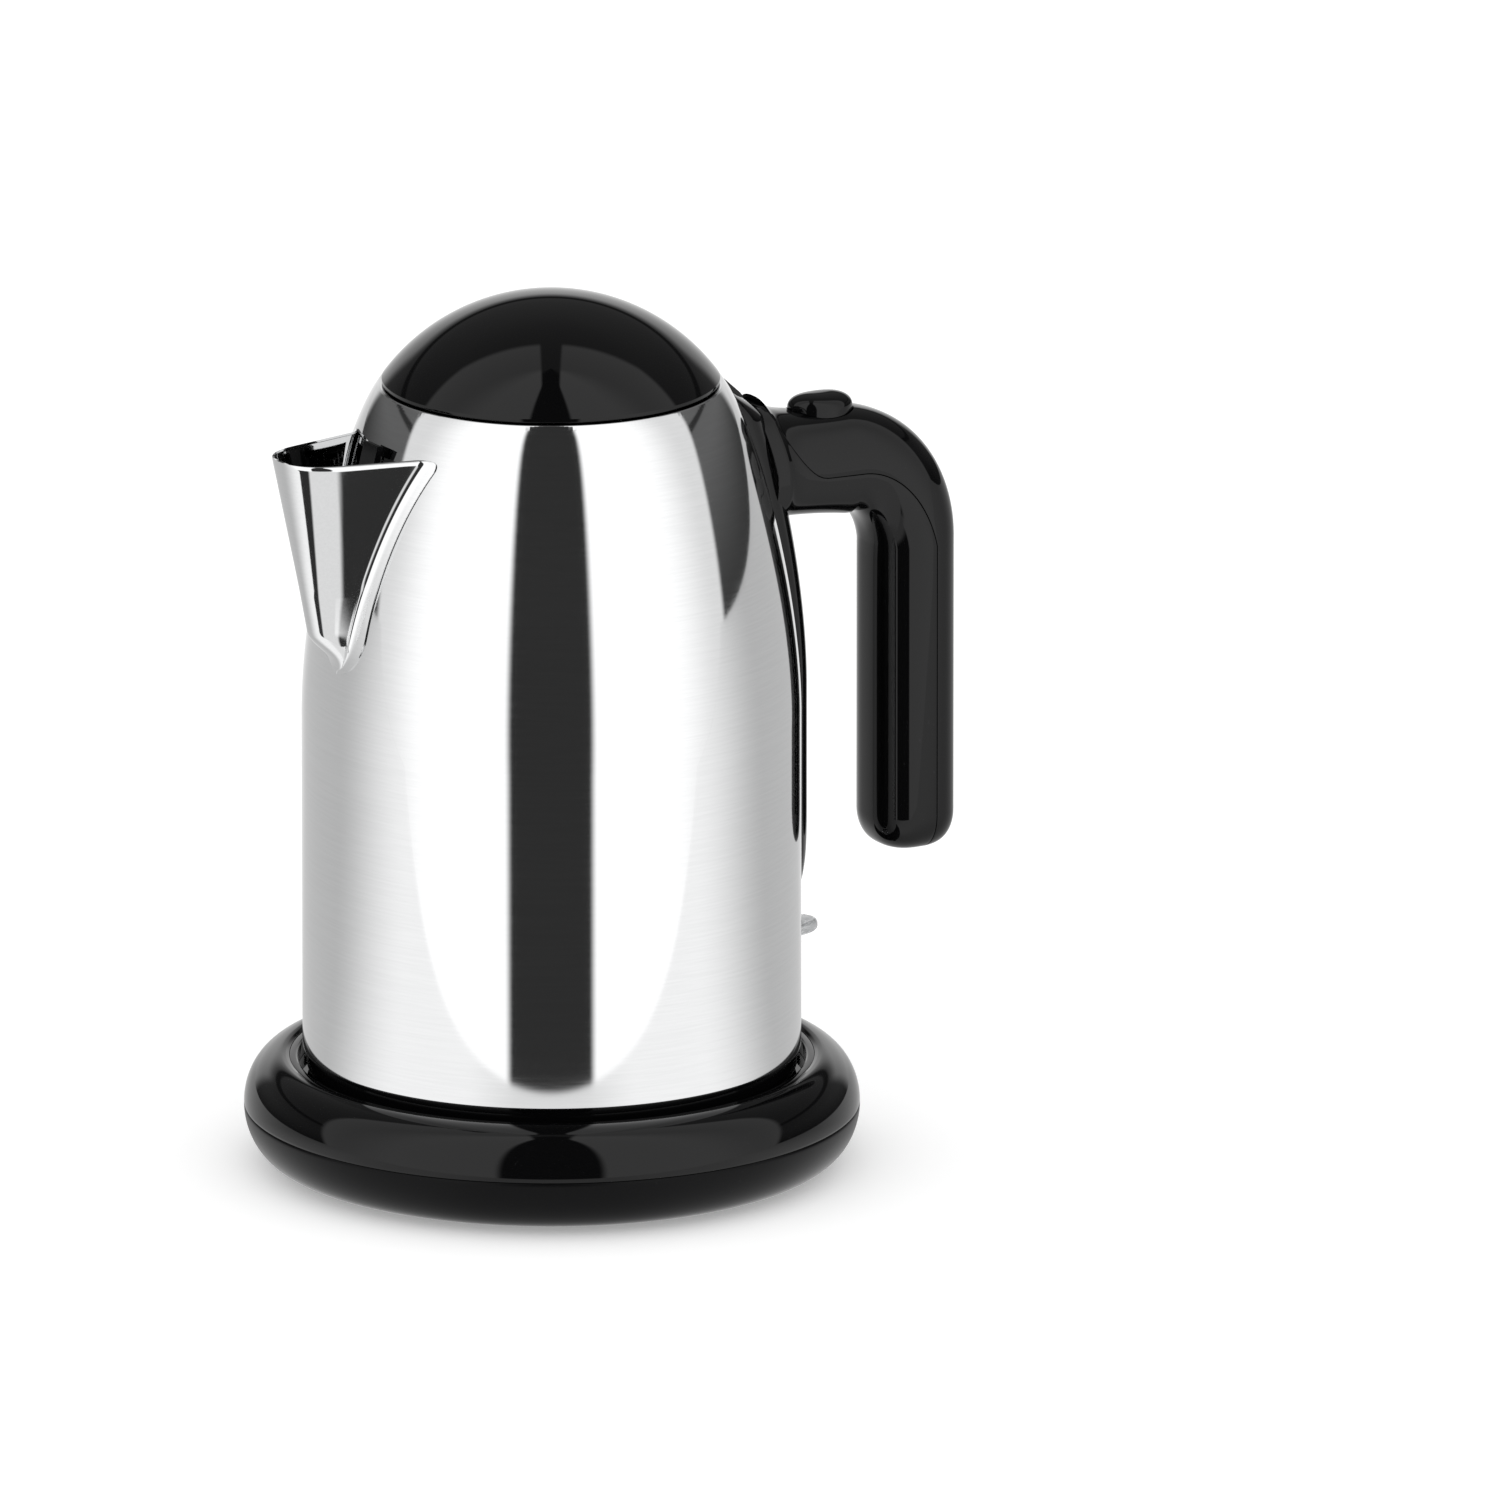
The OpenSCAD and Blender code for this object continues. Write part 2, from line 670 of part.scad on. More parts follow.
// Clear lever: at rest its tip points up a little, pressed it points down
module switch_lever() {
    reach = body_r + lever_out - switch_x;
    tip_r = lever_w / 2;
    color("#dfe3e6") translate([switch_x, 0, switch_z]) rotate([0, -lever_swing / 2, 0]) difference() {
        intersection() {
            rotate([90, 0, 0]) linear_extrude(height = lever_w, center = true) union() {
                circle(r = 2.6);
                translate([0, -lever_t / 2]) square([reach - lever_t / 2, lever_t]);
                translate([reach - lever_t / 2, 0]) circle(r = lever_t / 2);
            }
            translate([0, 0, -10]) linear_extrude(height = 20) union() {
                translate([-5, -lever_w / 2]) square([reach - tip_r + 5, lever_w]);
                translate([reach - tip_r, 0]) circle(r = tip_r);
            }
        }
        rotate([90, 0, 0]) cylinder(r = lever_pin_r + seat, h = lever_w + 2, center = true);
    }
}

// ---------------------------------------------------------------- handle
// Share of the full spine thickness at a height: rounded at both ends
function spine_share(z) =
    let (q = min(1, (z - spine_low + 0.6) / spine_nose), top = min(1, (spine_high - z + 1.2) / 9))
    sqrt(1 - pow(1 - q, 2.4)) * sqrt(1 - pow(1 - top, 2) * 0.62);
function spine_w(z) = let (q = min(1, (z - spine_low + 0.5) / 22)) spine_half_w * sqrt(1 - pow(1 - q, 2));
function spine_ring(z) =
    let (r = steel_r(z) + 0.12, w = spine_w(z), t = max(0.5, spine_t * spine_share(z)),
        n = 6, k = spine_round)
    concat(
        [for (i = [-n:n]) let (y = w * i / n, bulge = t * pow(max(0, 1 - pow(abs(i / n), k)), 1 / k))
            [sqrt(r * r - y * y) + max(0.4, bulge), y, z]],
        [for (i = [3:-1:-3]) let (y = w * i / 3) [sqrt(r * r - y * y), y, z]]);
// Levels of the spine, closer together round its lower nose
spine_levels = [for (i = [0:spine_steps]) let (t = i / spine_steps)
    mix(spine_low, spine_high, t < 0.35 ? 0.22 * pow(t / 0.35, 1.8) : mix(0.22, 1, (t - 0.35) / 0.65))];

// The handle's path as [x, z, direction in degrees from +X, half depth, seam offset, scale]
function arm_half(x) = arm_half_d + 1.6 * pow(max(0, 1 - (x - body_r) / 22), 2);
function seam_on_arm(x, half) = let (q = min(1, max(0, (x - body_r + 1) / 14)))
    mix(arm_seam, half * 0.96, pow(1 - q, 2.2));
grip_top_z = bend_z;
grip_low_z = grip_end_h + end_round;
path_arm = [for (x = concat([steel_r(arm_z) + 3], [for (d = arm_stations) body_r + d], [bend_x]))
    let (h = arm_half(x)) [x, arm_z, max(0, 12 * (body_r + 6 - x) / 12), h, seam_on_arm(x, h), 1]];
path_bend = [for (i = [1:bend_steps]) let (t = 90 * i / bend_steps)
    [bend_x + bend_a * sin(t), bend_z + bend_b * cos(t), -atan2(bend_b * sin(t), bend_a * cos(t)),
     mix(arm_half_d, grip_half_d, i / bend_steps), mix(arm_seam, grip_seam, pow(i / bend_steps, 2)), 1]];
path_grip = [for (i = [1:grip_steps])
    [grip_x, mix(grip_top_z, grip_low_z, i / grip_steps), -90, grip_half_d, grip_seam, 1]];
path_end = [for (i = [1:end_steps]) let (t = 84 * i / end_steps)
    [grip_x, grip_low_z - end_round * sin(t) / sin(84), -90, grip_half_d, grip_seam, pow(cos(t), 0.55)]];
path = concat(path_arm, path_bend, path_grip, path_end);

// Section in the plane across the path, from angle a to b, closed by a straight seam
function section(p, a, b) =
    [for (i = [0:ring_points]) let (t = a + (b - a) * i / ring_points,
        u = handle_half_w * p[5] * sign(cos(t)) * pow(abs(cos(t)), 2 / roundness),
        v = p[3] * p[5] * sign(sin(t)) * pow(abs(sin(t)), 2 / roundness))
        [p[0] - v * sin(p[2]), u, p[1] + v * cos(p[2])]];
function seam_t(p, gap) =
    let (s = (p[4] * p[5] + gap) / (p[3] * p[5]))
    asin(sign(s) * pow(min(0.97, abs(s)), roundness / 2));

module grip_half() {
    loft([for (p = path) let (t = seam_t(p, -seam_gap)) section(p, 180 - t, 360 + t)]);
}
module cover_half() {
    loft([for (p = [for (q = path) if (q[0] > body_r + cover_start) q])
        let (t = seam_t(p, seam_gap)) section(p, t, 180 - t)]);
}

// Room inside the handle shells for the button and the catch lever
module arm_hollow(low, high) {
    translate([catch_x - 5, -arm_room, low]) cube([room_end - catch_x + 5, 2 * arm_room, high - low]);
}

module handle_grip() {
    color("#0d0d0d") difference() {
        union() {
            loft([for (z = spine_levels) spine_ring(z)]);
            grip_half();
        }
        arm_hollow(room_floor, room_roof);
        // hollow of the grip
        translate([grip_x - grip_half_d + handle_wall + 1, -handle_half_w + handle_wall + 2, grip_low_z + 4])
            cube([2 * grip_half_d, 2 * (handle_half_w - handle_wall - 2), bend_z - grip_low_z - 6]);
        // room for the hinge arm of the lid, shut and open, and the bore of its pin
        translate([hinge_x, 0, hinge_z]) rotate([90, 0, 0])
            cylinder(r = ear_r + play, h = 2 * (ear_half_w + play), center = true);
        translate([mouth_r, -ear_half_w - play, hinge_z]) cube([hinge_x + ear_r + play - mouth_r,
            2 * (ear_half_w + play), 20]);
        rotate([90, 0, 0]) linear_extrude(height = 2 * (ear_half_w + play), center = true) polygon([
            [hinge_x, hinge_z], [hinge_x + 3, hinge_z - 2.5], [hinge_x + 14.5, hinge_z + 17],
            [hinge_x, hinge_z + 17]]);
        translate([hinge_x, 0, hinge_z]) rotate([90, 0, 0])
            cylinder(r = hinge_pin_r + seat / 2, h = 2 * (ear_half_w + play + knuckle_w), center = true);
        // channel and pin bore of the catch lever
        rotate([90, 0, 0]) linear_extrude(height = catch_w + 2 * play, center = true) polygon([
            [hinge_x + 2.2, hinge_z - 6], [hinge_x + 2.2, hinge_z + 3], [hinge_x + 7, hinge_z + 1],
            [catch_x + 5, catch_z + 4], [catch_x + 5, catch_z - 6], [catch_x - 4.5, catch_z - 4.5]]);
        translate([catch_x, 0, catch_z]) rotate([90, 0, 0])
            cylinder(r = catch_pin_r + seat / 2, h = 2 * arm_room + 3, center = true);
        // pockets over the studs
        for (z = stud_z) translate([steel_r(z) - 1, 0, z]) rotate([0, 90, 0]) {
            cylinder(r = 4.4, h = 1 + stud_l);
            cylinder(r = stud_r + seat, h = 1 + stud_l + 1);
        }
        for (p = [bend_screw, end_screw]) translate([p[0], 0, p[1]]) {
            translate([0, 0, -eps]) cylinder(r = screw_r + seat, h = handle_screw_l + 3);
            translate([0, 0, -20]) cylinder(r = handle_head_r + 0.2, h = 20);
        }
    }
}
handle_screw_l = 20;
spring_r = 3.4;
spring_wire = 0.45;

module handle_cover() {
    color("#0a0a0a") difference() {
        union() {
            difference() {
                cover_half();
                arm_hollow(arm_z + arm_seam - 1, room_roof);
                translate([grip_x - grip_half_d, -handle_half_w + handle_wall + 2, grip_low_z + 4])
                    cube([2 * grip_half_d - handle_wall - 1, 2 * (handle_half_w - handle_wall - 2),
                        bend_z - grip_low_z - 6]);
            }
            // tab inside the grip that the lower screw bites into
            translate([grip_x - 5, -5, grip_low_z + 4 + seat])
                cube([5 + grip_half_d - 1, 10, end_tab_h]);
        }
        translate([button_x, 0, arm_z]) linear_extrude(height = 30) slot_shape(button_span, button_r + play);
        for (p = [bend_screw, end_screw]) translate([p[0], 0, p[1]])
            cylinder(r = screw_r + seat, h = handle_screw_l + 3);
    }
}

module handle_screws() {
    color("#9a9a9a") for (p = [bend_screw, end_screw])
        translate([p[0], 0, p[1] - 1.2]) screw(screw_r, handle_screw_l, handle_head_r, 1.2);
}

module spine_studs() {
    color("#b0b2b5") for (z = stud_z) translate([steel_r(z) + seat, 0, z]) rotate([0, 90, 0])
        cylinder(r = stud_r, h = stud_l);
}

module spine_nuts() {
    color("#9a9a9a") for (z = stud_z) translate([steel_r(z) + 1.6, 0, z]) rotate([0, 90, 0]) difference() {
        cylinder(r = 4, h = 2.4, $fn = 6);
        translate([0, 0, -1]) cylinder(r = stud_r + seat / 2, h = 5);
    }
}

// ---------------------------------------------------------------- button and catch
stem_x = catch_x + catch_arm;
flange_z = room_roof - button_flange_h - seat;

module lid_button() {
    color("#080808") translate([button_x, 0, 0]) union() {
        intersection() {
            translate([0, 0, flange_z]) linear_extrude(height = button_top - flange_z)
                slot_shape(button_span, button_r);
            translate([0, 0, button_top - 38]) sphere(r = 38);
        }
        translate([0, 0, flange_z]) linear_extrude(height = button_flange_h)
            slot_shape(button_span, button_r + button_flange);
        translate([stem_x - button_x, 0, catch_z + catch_bar / 2 + catch_gap])
            cylinder(r = stem_r, h = flange_z - catch_z - catch_bar / 2 - catch_gap + eps);
        // pip that centres the spring
        translate([spring_at - button_x, 0, flange_z - 1.2]) cylinder(r = spring_r - 1.2, h = 1.2 + eps);
    }
}
spring_at = stem_x + stem_r + spring_r + 1.4;

// Spring of round wire, from z0 up to z1
module coil(r, wire, z0, z1, turns) {
    per = 14;
    n = turns * per;
    loft([for (i = [0:n]) let (a = 360 * i / per, z = mix(z0 + wire, z1 - wire, i / n))
        [for (j = [0:5]) let (b = 60 * j)
            [(r + wire * cos(b)) * cos(a), (r + wire * cos(b)) * sin(a), z + wire * sin(b)]]]);
}

module button_spring() {
    color("#b8babc") translate([spring_at, 0, 0])
        coil(spring_r - 0.6, spring_wire, room_floor + seat, flange_z - seat, 7);
}

// Bell crank: the button presses its level arm, and its upright draws back from the lid's hinge arm
module catch_lever() {
    nose = [hinge_x + (ear_r + play) * cos(35), hinge_z - (ear_r + play) * sin(35)];
    color("#2c2c2c") difference() {
        union() {
            translate([catch_x, 0, catch_z]) rotate([90, 0, 0])
                cylinder(r = catch_hub_r, h = catch_w, center = true);
            translate([catch_x, -catch_w / 2, catch_z - catch_bar / 2])
                cube([catch_arm + stem_r - 0.5, catch_w, catch_bar]);
            rotate([90, 0, 0]) linear_extrude(height = catch_w, center = true)
                polygon([nose, [nose[0] + 2.6, nose[1] + 0.6], [catch_x + 1.5, catch_z + 2],
                    [catch_x - 2, catch_z], [nose[0] + 0.6, nose[1] - 2]]);
        }
        translate([catch_x, 0, catch_z]) rotate([90, 0, 0])
            cylinder(r = catch_pin_r + seat, h = catch_w + 2, center = true);
    }
}

module catch_pin() {
    color("#9a9a9a") translate([catch_x, 0, catch_z]) rotate([90, 0, 0])
        cylinder(r = catch_pin_r, h = 2 * arm_room + 3 - 2 * seat, center = true);
}

// ---------------------------------------------------------------- lid
dome_c = dome_z + dome_edge + dome_rise - dome_R;
function dome_h(r, R) = dome_c + sqrt(R * R - r * r);
function dome_arc(edge, R) =
    [for (i = [0:dome_steps]) let (r = edge * cos(90 * i / dome_steps)) [r, dome_h(r, R)]];

module lid_dome() {
    R = dome_R;
    boss_low = dome_z - liner_h + liner_t + seat;
    w = dome_wall;
    in_r = dome_rim_r - w;
    color("#0b0b0b") difference() {
        union() {
            rotate_extrude() polygon(concat(
                [[in_r, dome_z], [dome_rim_r - 0.3, dome_z], [dome_rim_r, dome_z + 0.4]],
                dome_arc(dome_rim_r, R),
                back(dome_arc(in_r, R - w))));
            for (a = lid_boss_angles) rotate(a) translate([lid_boss_at, 0, boss_low])
                cylinder(r = lid_boss_r, h = dome_h(lid_boss_at + lid_boss_r, R) - 0.8 - boss_low);
            // hinge arm
            rotate([90, 0, 0]) linear_extrude(height = 2 * ear_half_w, center = true) union() {
                translate([hinge_x, hinge_z]) circle(r = ear_r);
                polygon([[mouth_r - 1, dome_z], [mouth_r - 1, dome_z + 2.6], [dome_rim_r - 0.4, dome_z + 1.3],
                    [hinge_x + 2.1, hinge_z + 2.1], [hinge_x, hinge_z - 2.9], [hinge_x - 2.9, hinge_z],
                    [rim_r - 2.4, dome_z - 4], [mouth_r + 0.6, dome_z - 1.6]]);
            }
        }
        for (a = lid_boss_angles) rotate(a) translate([lid_boss_at, 0, dome_z - liner_h])
            cylinder(r = screw_r + seat, h = 14);
        translate([hinge_x, 0, hinge_z]) rotate([90, 0, 0])
            cylinder(r = hinge_pin_r + seat, h = 2 * ear_half_w + 2, center = true);
    }
}
lid_boss_angles = [60, 180, 300];

module lid_liner() {
    z0 = dome_z - liner_h;
    color("#c9cbcd") difference() {
        rotate_extrude() polygon([
            [0, z0], [liner_bottom_r, z0], [liner_r, dome_z - 0.2], [liner_r, dome_z], [mouth_r + 1, dome_z],
            [mouth_r + 1, dome_z + liner_t], [liner_r - 1, dome_z + liner_t],
            [liner_bottom_r - 0.6, z0 + liner_t], [0, z0 + liner_t]]);
        for (a = lid_boss_angles) rotate(a) translate([lid_boss_at, 0, z0 - 1])
            cylinder(r = screw_r + seat, h = 3);
        // the hinge arm passes here
        translate([liner_r - 0.4, -ear_half_w - 0.1, z0]) cube([20, 2 * ear_half_w + 0.2, 20]);
    }
}

module lid_seal() {
    z0 = dome_z - 1.3;
    z1 = dome_z - 0.2 - seat;
    slope = (liner_r - liner_bottom_r) / (liner_h - 0.2);
    color("#d8d8d4") difference() {
        rotate_extrude() polygon([
            [liner_r - slope * 1.1 + 2 * seat, z0], [seal_r - 0.4, z0], [seal_r, z0 + 0.5],
            [liner_r + seat, z1]]);
        translate([liner_r - 3, -ear_half_w - 0.3, z0 - 1]) cube([20, 2 * ear_half_w + 0.6, 20]);
    }
}

module lid_screws() {
    color("#9a9a9a") for (a = lid_boss_angles) rotate(a)
        translate([lid_boss_at, 0, dome_z - liner_h - 1.2 - seat]) screw(screw_r, 11, screw_r + 1.2, 1.2);
}

module lid_hinge_pin() {
    color("#b0b2b5") translate([hinge_x, 0, hinge_z]) rotate([90, 0, 0])
        cylinder(r = hinge_pin_r, h = 2 * (ear_half_w + play + knuckle_w) - 2 * seat, center = true);
}

// ---------------------------------------------------------------- filter
filter_low = v_low + 8;
filter_high = rim_z - body_wall - 8 - 4.6;
filter_w_low = 9;
filter_w_high = 17;
filter_t = 2;
tab_w = 8;
tab_drop = 9;
function filter_x(z) = sqrt(pow(steel_r(z) - body_wall - 0.6, 2) - filter_w_high * filter_w_high) - play;
filter_tilt = atan2(filter_x(filter_low) - filter_x(filter_high), filter_high - filter_low);
filter_len = (filter_high - filter_low) / cos(filter_tilt);

// Puts a shape drawn in [across, up the filter] on the filter's plane
module on_filter() {
    translate([-filter_x(filter_low), 0, filter_low]) rotate([0, filter_tilt, 0])
        rotate([90, 0, 90]) children();
}
module filter_shape(inset) {
    polygon([[-filter_w_low + inset, inset], [filter_w_low - inset, inset],
        [filter_w_high - inset, filter_len - inset], [-filter_w_high + inset, filter_len - inset]]);
}

module filter_frame() {
    color("#151515") on_filter() union() {
        difference() {
            linear_extrude(height = filter_t) filter_shape(0);
            translate([0, 0, -1]) linear_extrude(height = filter_t + 2) filter_shape(3);
        }
        // tab that a finger pulls: out through the V opening, then up
        translate([-tab_w / 2, filter_len - tab_drop, 0]) cube([tab_w, tab_drop, filter_t]);
        translate([-tab_w / 2, filter_len - tab_drop, -8]) cube([tab_w, 2.4, 8.5]);
        translate([-tab_w / 2, filter_len - tab_drop, -8]) cube([tab_w, tab_drop + 1, 2]);
    }
}

module filter_mesh() {
    pitch = 3;
    bar = 0.5;
    color("#c8c8c8") on_filter() translate([0, 0, filter_t / 2 - bar / 2]) linear_extrude(height = bar)
        intersection() {
            difference() {
                filter_shape(3 + seat);
                translate([-tab_w / 2 - seat, filter_len - tab_drop - seat])
                    square([tab_w + 2 * seat, tab_drop]);
            }
            union() {
                for (x = [-filter_w_high:pitch:filter_w_high]) translate([x - bar / 2, 0])
                    square([bar, filter_len]);
                for (y = [3:pitch:filter_len]) translate([-filter_w_high, y - bar / 2])
                    square([2 * filter_w_high, bar]);
            }
        }
}

base_top_cover();
base_deck();
base_well_ring();
base_bottom_cover();
foot_ring();
base_screws();
base_connector();
base_contacts();
terminal_block();
cord_gland();
kettle_connector();
kettle_contacts();
body_shell();
spout();
mouth_ring();
floor_plate();
heat_spreader();
heating_element();
control_housing();
control_posts();
dry_boil_disc();
bottom_cover();
cover_posts();
bottom_screws();
steam_tube();
steam_disc();
switch_housing();
lever_pin();
pilot_lamp();
switch_lever();
spine_studs();
spine_nuts();
handle_grip();
handle_cover();
handle_screws();
button_spring();
lid_button();
catch_lever();
catch_pin();
lid_dome();
lid_liner();
lid_seal();
lid_screws();
lid_hinge_pin();
filter_frame();
filter_mesh();
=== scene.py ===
# Cordless electric kettle: finishes and finely shaped outer pieces, in the model's own frame.
# Lengths in this file are in millimetres; they become metres where a mesh is made.
import bisect
import json
import math
import bmesh
import bpy
from mathutils import Matrix, Vector


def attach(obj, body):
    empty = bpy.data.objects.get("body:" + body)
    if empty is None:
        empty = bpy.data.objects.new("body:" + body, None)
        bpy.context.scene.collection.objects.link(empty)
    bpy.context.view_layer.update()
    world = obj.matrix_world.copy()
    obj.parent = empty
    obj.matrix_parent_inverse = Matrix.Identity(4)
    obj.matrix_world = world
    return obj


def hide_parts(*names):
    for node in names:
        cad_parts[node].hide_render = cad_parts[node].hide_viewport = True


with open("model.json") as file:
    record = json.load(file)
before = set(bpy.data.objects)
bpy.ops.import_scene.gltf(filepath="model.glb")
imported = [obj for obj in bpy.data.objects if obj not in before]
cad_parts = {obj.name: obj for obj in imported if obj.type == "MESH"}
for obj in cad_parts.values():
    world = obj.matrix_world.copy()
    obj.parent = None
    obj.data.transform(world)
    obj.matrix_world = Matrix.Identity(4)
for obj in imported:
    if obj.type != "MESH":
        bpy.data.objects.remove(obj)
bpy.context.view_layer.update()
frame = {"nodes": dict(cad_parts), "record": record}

MM = 0.001
scene = bpy.context.scene
scene.view_settings.view_transform = "Standard"

# ------------------------------------------------------------------ sizes shared with the model
BODY_R = 73.0
SKIRT_TOP = 34.8
STRAIGHT_TOP = 134.8
RIM_Z, RIM_R, MOUTH_R = 234.5, 50.3, 45.0
SHOULDER_PULL, RIM_PULL = 37.2, (9.7, 12.5)  # handles of the shoulder's curve, at the wall and at the rim
STEEL_WALL, PLASTIC_WALL = 0.9, 2.4
DECK_H, BOTTOM_Z = 27.0, 27.3
BASE_R, SEAM_H, CREST_R, CREST_H = 90.2, 17.5, 79.0, 32.2
SPOUT_LOW, SPOUT_TOP = 156.5, 222.5
SPOUT_H = SPOUT_TOP - SPOUT_LOW
HINGE = (58.798, 222.5)
ARM_Z, GRIP_X = 200.0, 119.5
BEND_X, BEND_Z, BEND_A, BEND_B = 97.0, 172.0, 22.5, 28.0
GRIP_END, END_ROUND = 79.0, 11.0
SPINE_LOW, SPINE_FADE, SPINE_TOP = 63.8, 218.0, 226.2
SPINE_HALF, SPINE_DEPTH, SPINE_TIP = 15.0, 9.5, 1.6
ARM_HALF, ARM_WIDE, GRIP_HALF = 15.0, 14, 13.28
ARM_SEAM, GRIP_SEAM, ARM_SAG = -2.5, 2.9, 2.2
BUTTON_X, BUTTON_TOP = 90.5, 219.8
LEVER_X, LEVER_Z = 61.0, 56.8


# ------------------------------------------------------------------ curves
def mix(a, b, t):
    return a + (b - a) * t


def clamp(v, low=0.0, high=1.0):
    return max(low, min(high, v))


def swell(t):
    """Quarter circle from 0 to 1, steep at its start."""
    return math.sqrt(1 - (1 - t) ** 2)


def drop(t):
    """Quarter circle from 0 to 1, steep at its end."""
    return 1 - math.sqrt(1 - t * t)


def ease(t):
    """S curve from 0 to 1."""
    return t * t * (3 - 2 * t)


def shoulder(t):
    """Radius and height of the drawn-in shoulder, from the straight wall at 0 to the rim at 1."""
    pts = ((BODY_R, STRAIGHT_TOP), (BODY_R, STRAIGHT_TOP + SHOULDER_PULL),
           (RIM_R + RIM_PULL[0], RIM_Z - RIM_PULL[1]), (RIM_R, RIM_Z))
    w = ((1 - t) ** 3, 3 * t * (1 - t) ** 2, 3 * t * t * (1 - t), t ** 3)
    return tuple(sum(k * p[i] for k, p in zip(w, pts)) for i in (0, 1))


SHOULDER_STEPS = 600
SHOULDER = [shoulder(i / SHOULDER_STEPS) for i in range(SHOULDER_STEPS + 1)]
SHOULDER_Z = [p[1] for p in SHOULDER]


def steel_r(z):
    """Outside radius of the steel at a height."""
    if z <= STRAIGHT_TOP:
        return BODY_R
    i = min(SHOULDER_STEPS - 1, max(0, bisect.bisect_right(SHOULDER_Z, z) - 1))
    (r0, z0), (r1, z1) = SHOULDER[i], SHOULDER[i + 1]
    return mix(r0, r1, (z - z0) / (z1 - z0))


def rounded(points, radii, steps=5, closed=False):
    """Polyline with its corners rounded. A radius of 0 keeps the corner sharp."""
    out, n = [], len(points)
    for i, (p, r) in enumerate(zip(points, radii)):
        if r <= 0 or (not closed and i in (0, n - 1)):
            out.append(p)
            continue
        a, b = Vector(points[i - 1]) - Vector(p), Vector(points[(i + 1) % n]) - Vector(p)
        turn = math.pi - a.angle(b)
        reach = min(r * math.tan(turn / 2), a.length * 0.48, b.length * 0.48)
        s, e, c = Vector(p) + a.normalized() * reach, Vector(p) + b.normalized() * reach, Vector(p)
        for k in range(steps + 1):
            t = k / steps
            out.append(tuple(s * (1 - t) ** 2 + c * 2 * t * (1 - t) + e * t * t))
    return out


def quarter(r0, z0, a, b, n=40):
    """Quarter ellipse from (r0 + a, z0) to (r0, z0 + b)."""
    return [(r0 + a * math.cos(t), z0 + b * math.sin(t)) for t in (math.pi / 2 * i / n for i in range(n + 1))]


# ------------------------------------------------------------------ node helpers
def sockets_in(tree, **wanted):
    """Declares a group's inputs: name = (type, default)."""
    for name, (kind, value) in wanted.items():
        s = tree.interface.new_socket(name.replace("_", " "), in_out="INPUT", socket_type="NodeSocket" + kind)
        if value is not None:
            s.default_value = value


def sockets_out(tree, **wanted):
    for name, kind in wanted.items():
        tree.interface.new_socket(name.replace("_", " "), in_out="OUTPUT", socket_type="NodeSocket" + kind)


def feed(tree, socket, value):
    if isinstance(value, bpy.types.NodeSocket):
        tree.links.new(value, socket)
    else:
        socket.default_value = value


def math_node(tree, kind, *values):
    n = tree.nodes.new("ShaderNodeMath")
    n.operation = kind
    for s, v in zip(n.inputs, values):
        feed(tree, s, v)
    return n.outputs[0]


def times(tree, a, b):
    return math_node(tree, "MULTIPLY", a, b)


def plus(tree, a, b):
    return math_node(tree, "ADD", a, b)


def minus(tree, a, b):
    return math_node(tree, "SUBTRACT", a, b)


def ramp(tree, value, low, high, out_low=0.0, out_high=1.0, smooth=True):
    n = tree.nodes.new("ShaderNodeMapRange")
    n.interpolation_type = "SMOOTHSTEP" if smooth else "LINEAR"
    names = ("Value", "From Min", "From Max", "To Min", "To Max")
    for name, v in zip(names, (value, low, high, out_low, out_high)):
        feed(tree, n.inputs[name], v)
    return n.outputs["Result"]


def blend_colour(tree, mask, a, b):
    n = tree.nodes.new("ShaderNodeMix")
    n.data_type = "RGBA"
    feed(tree, n.inputs[0], mask)
    feed(tree, n.inputs[6], a)
    feed(tree, n.inputs[7], b)
    return n.outputs[2]


def mix_shader(tree, mask, a, b):
    n = tree.nodes.new("ShaderNodeMixShader")
    for s, v in zip(n.inputs, (mask, a, b)):
        tree.links.new(v, s)
    return n.outputs[0]


def noise(tree, vector, scale, detail=3.0):
    n = tree.nodes.new("ShaderNodeTexNoise")
    feed(tree, n.inputs["Vector"], vector)
    for name, v in (("Scale", scale), ("Detail", detail), ("Roughness", 0.55)):
        feed(tree, n.inputs[name], v)
    return n.outputs["Fac"]


def stroke_group():
    """Fine strokes that run round the Z axis, as a polishing or brushing wheel leaves them."""
    g = bpy.data.node_groups.new("wheel strokes", "ShaderNodeTree")
    sockets_in(g, Along=("Float", 14.0), Across=("Float", 5200.0), Contrast=("Float", 0.5))
    sockets_out(g, Strokes="Float", Cloud="Float")
    gi, go = g.nodes.new("NodeGroupInput"), g.nodes.new("NodeGroupOutput")
    co = g.nodes.new("ShaderNodeTexCoord").outputs["Object"]
    sep = g.nodes.new("ShaderNodeSeparateXYZ")
    g.links.new(co, sep.inputs[0])
    x, y, z = sep.outputs
    along, across, contrast = (gi.outputs[k] for k in ("Along", "Across", "Contrast"))
    turn = math_node(g, "ARCTAN2", y, times(g, x, -1.0))
    out = math_node(g, "SQRT", plus(g, times(g, x, x), times(g, y, y)))
    com = g.nodes.new("ShaderNodeCombineXYZ")
    for s, v in zip(com.inputs, (times(g, turn, along), times(g, z, across), times(g, out, across))):
        g.links.new(v, s)
    fine = noise(g, com.outputs[0], 1.0, 2.0)
    low, high = minus(g, 0.5, times(g, contrast, 0.5)), plus(g, 0.5, times(g, contrast, 0.5))
    g.links.new(ramp(g, fine, low, high), go.inputs["Strokes"])
    g.links.new(noise(g, co, 38.0, 3.0), go.inputs["Cloud"])
    return g


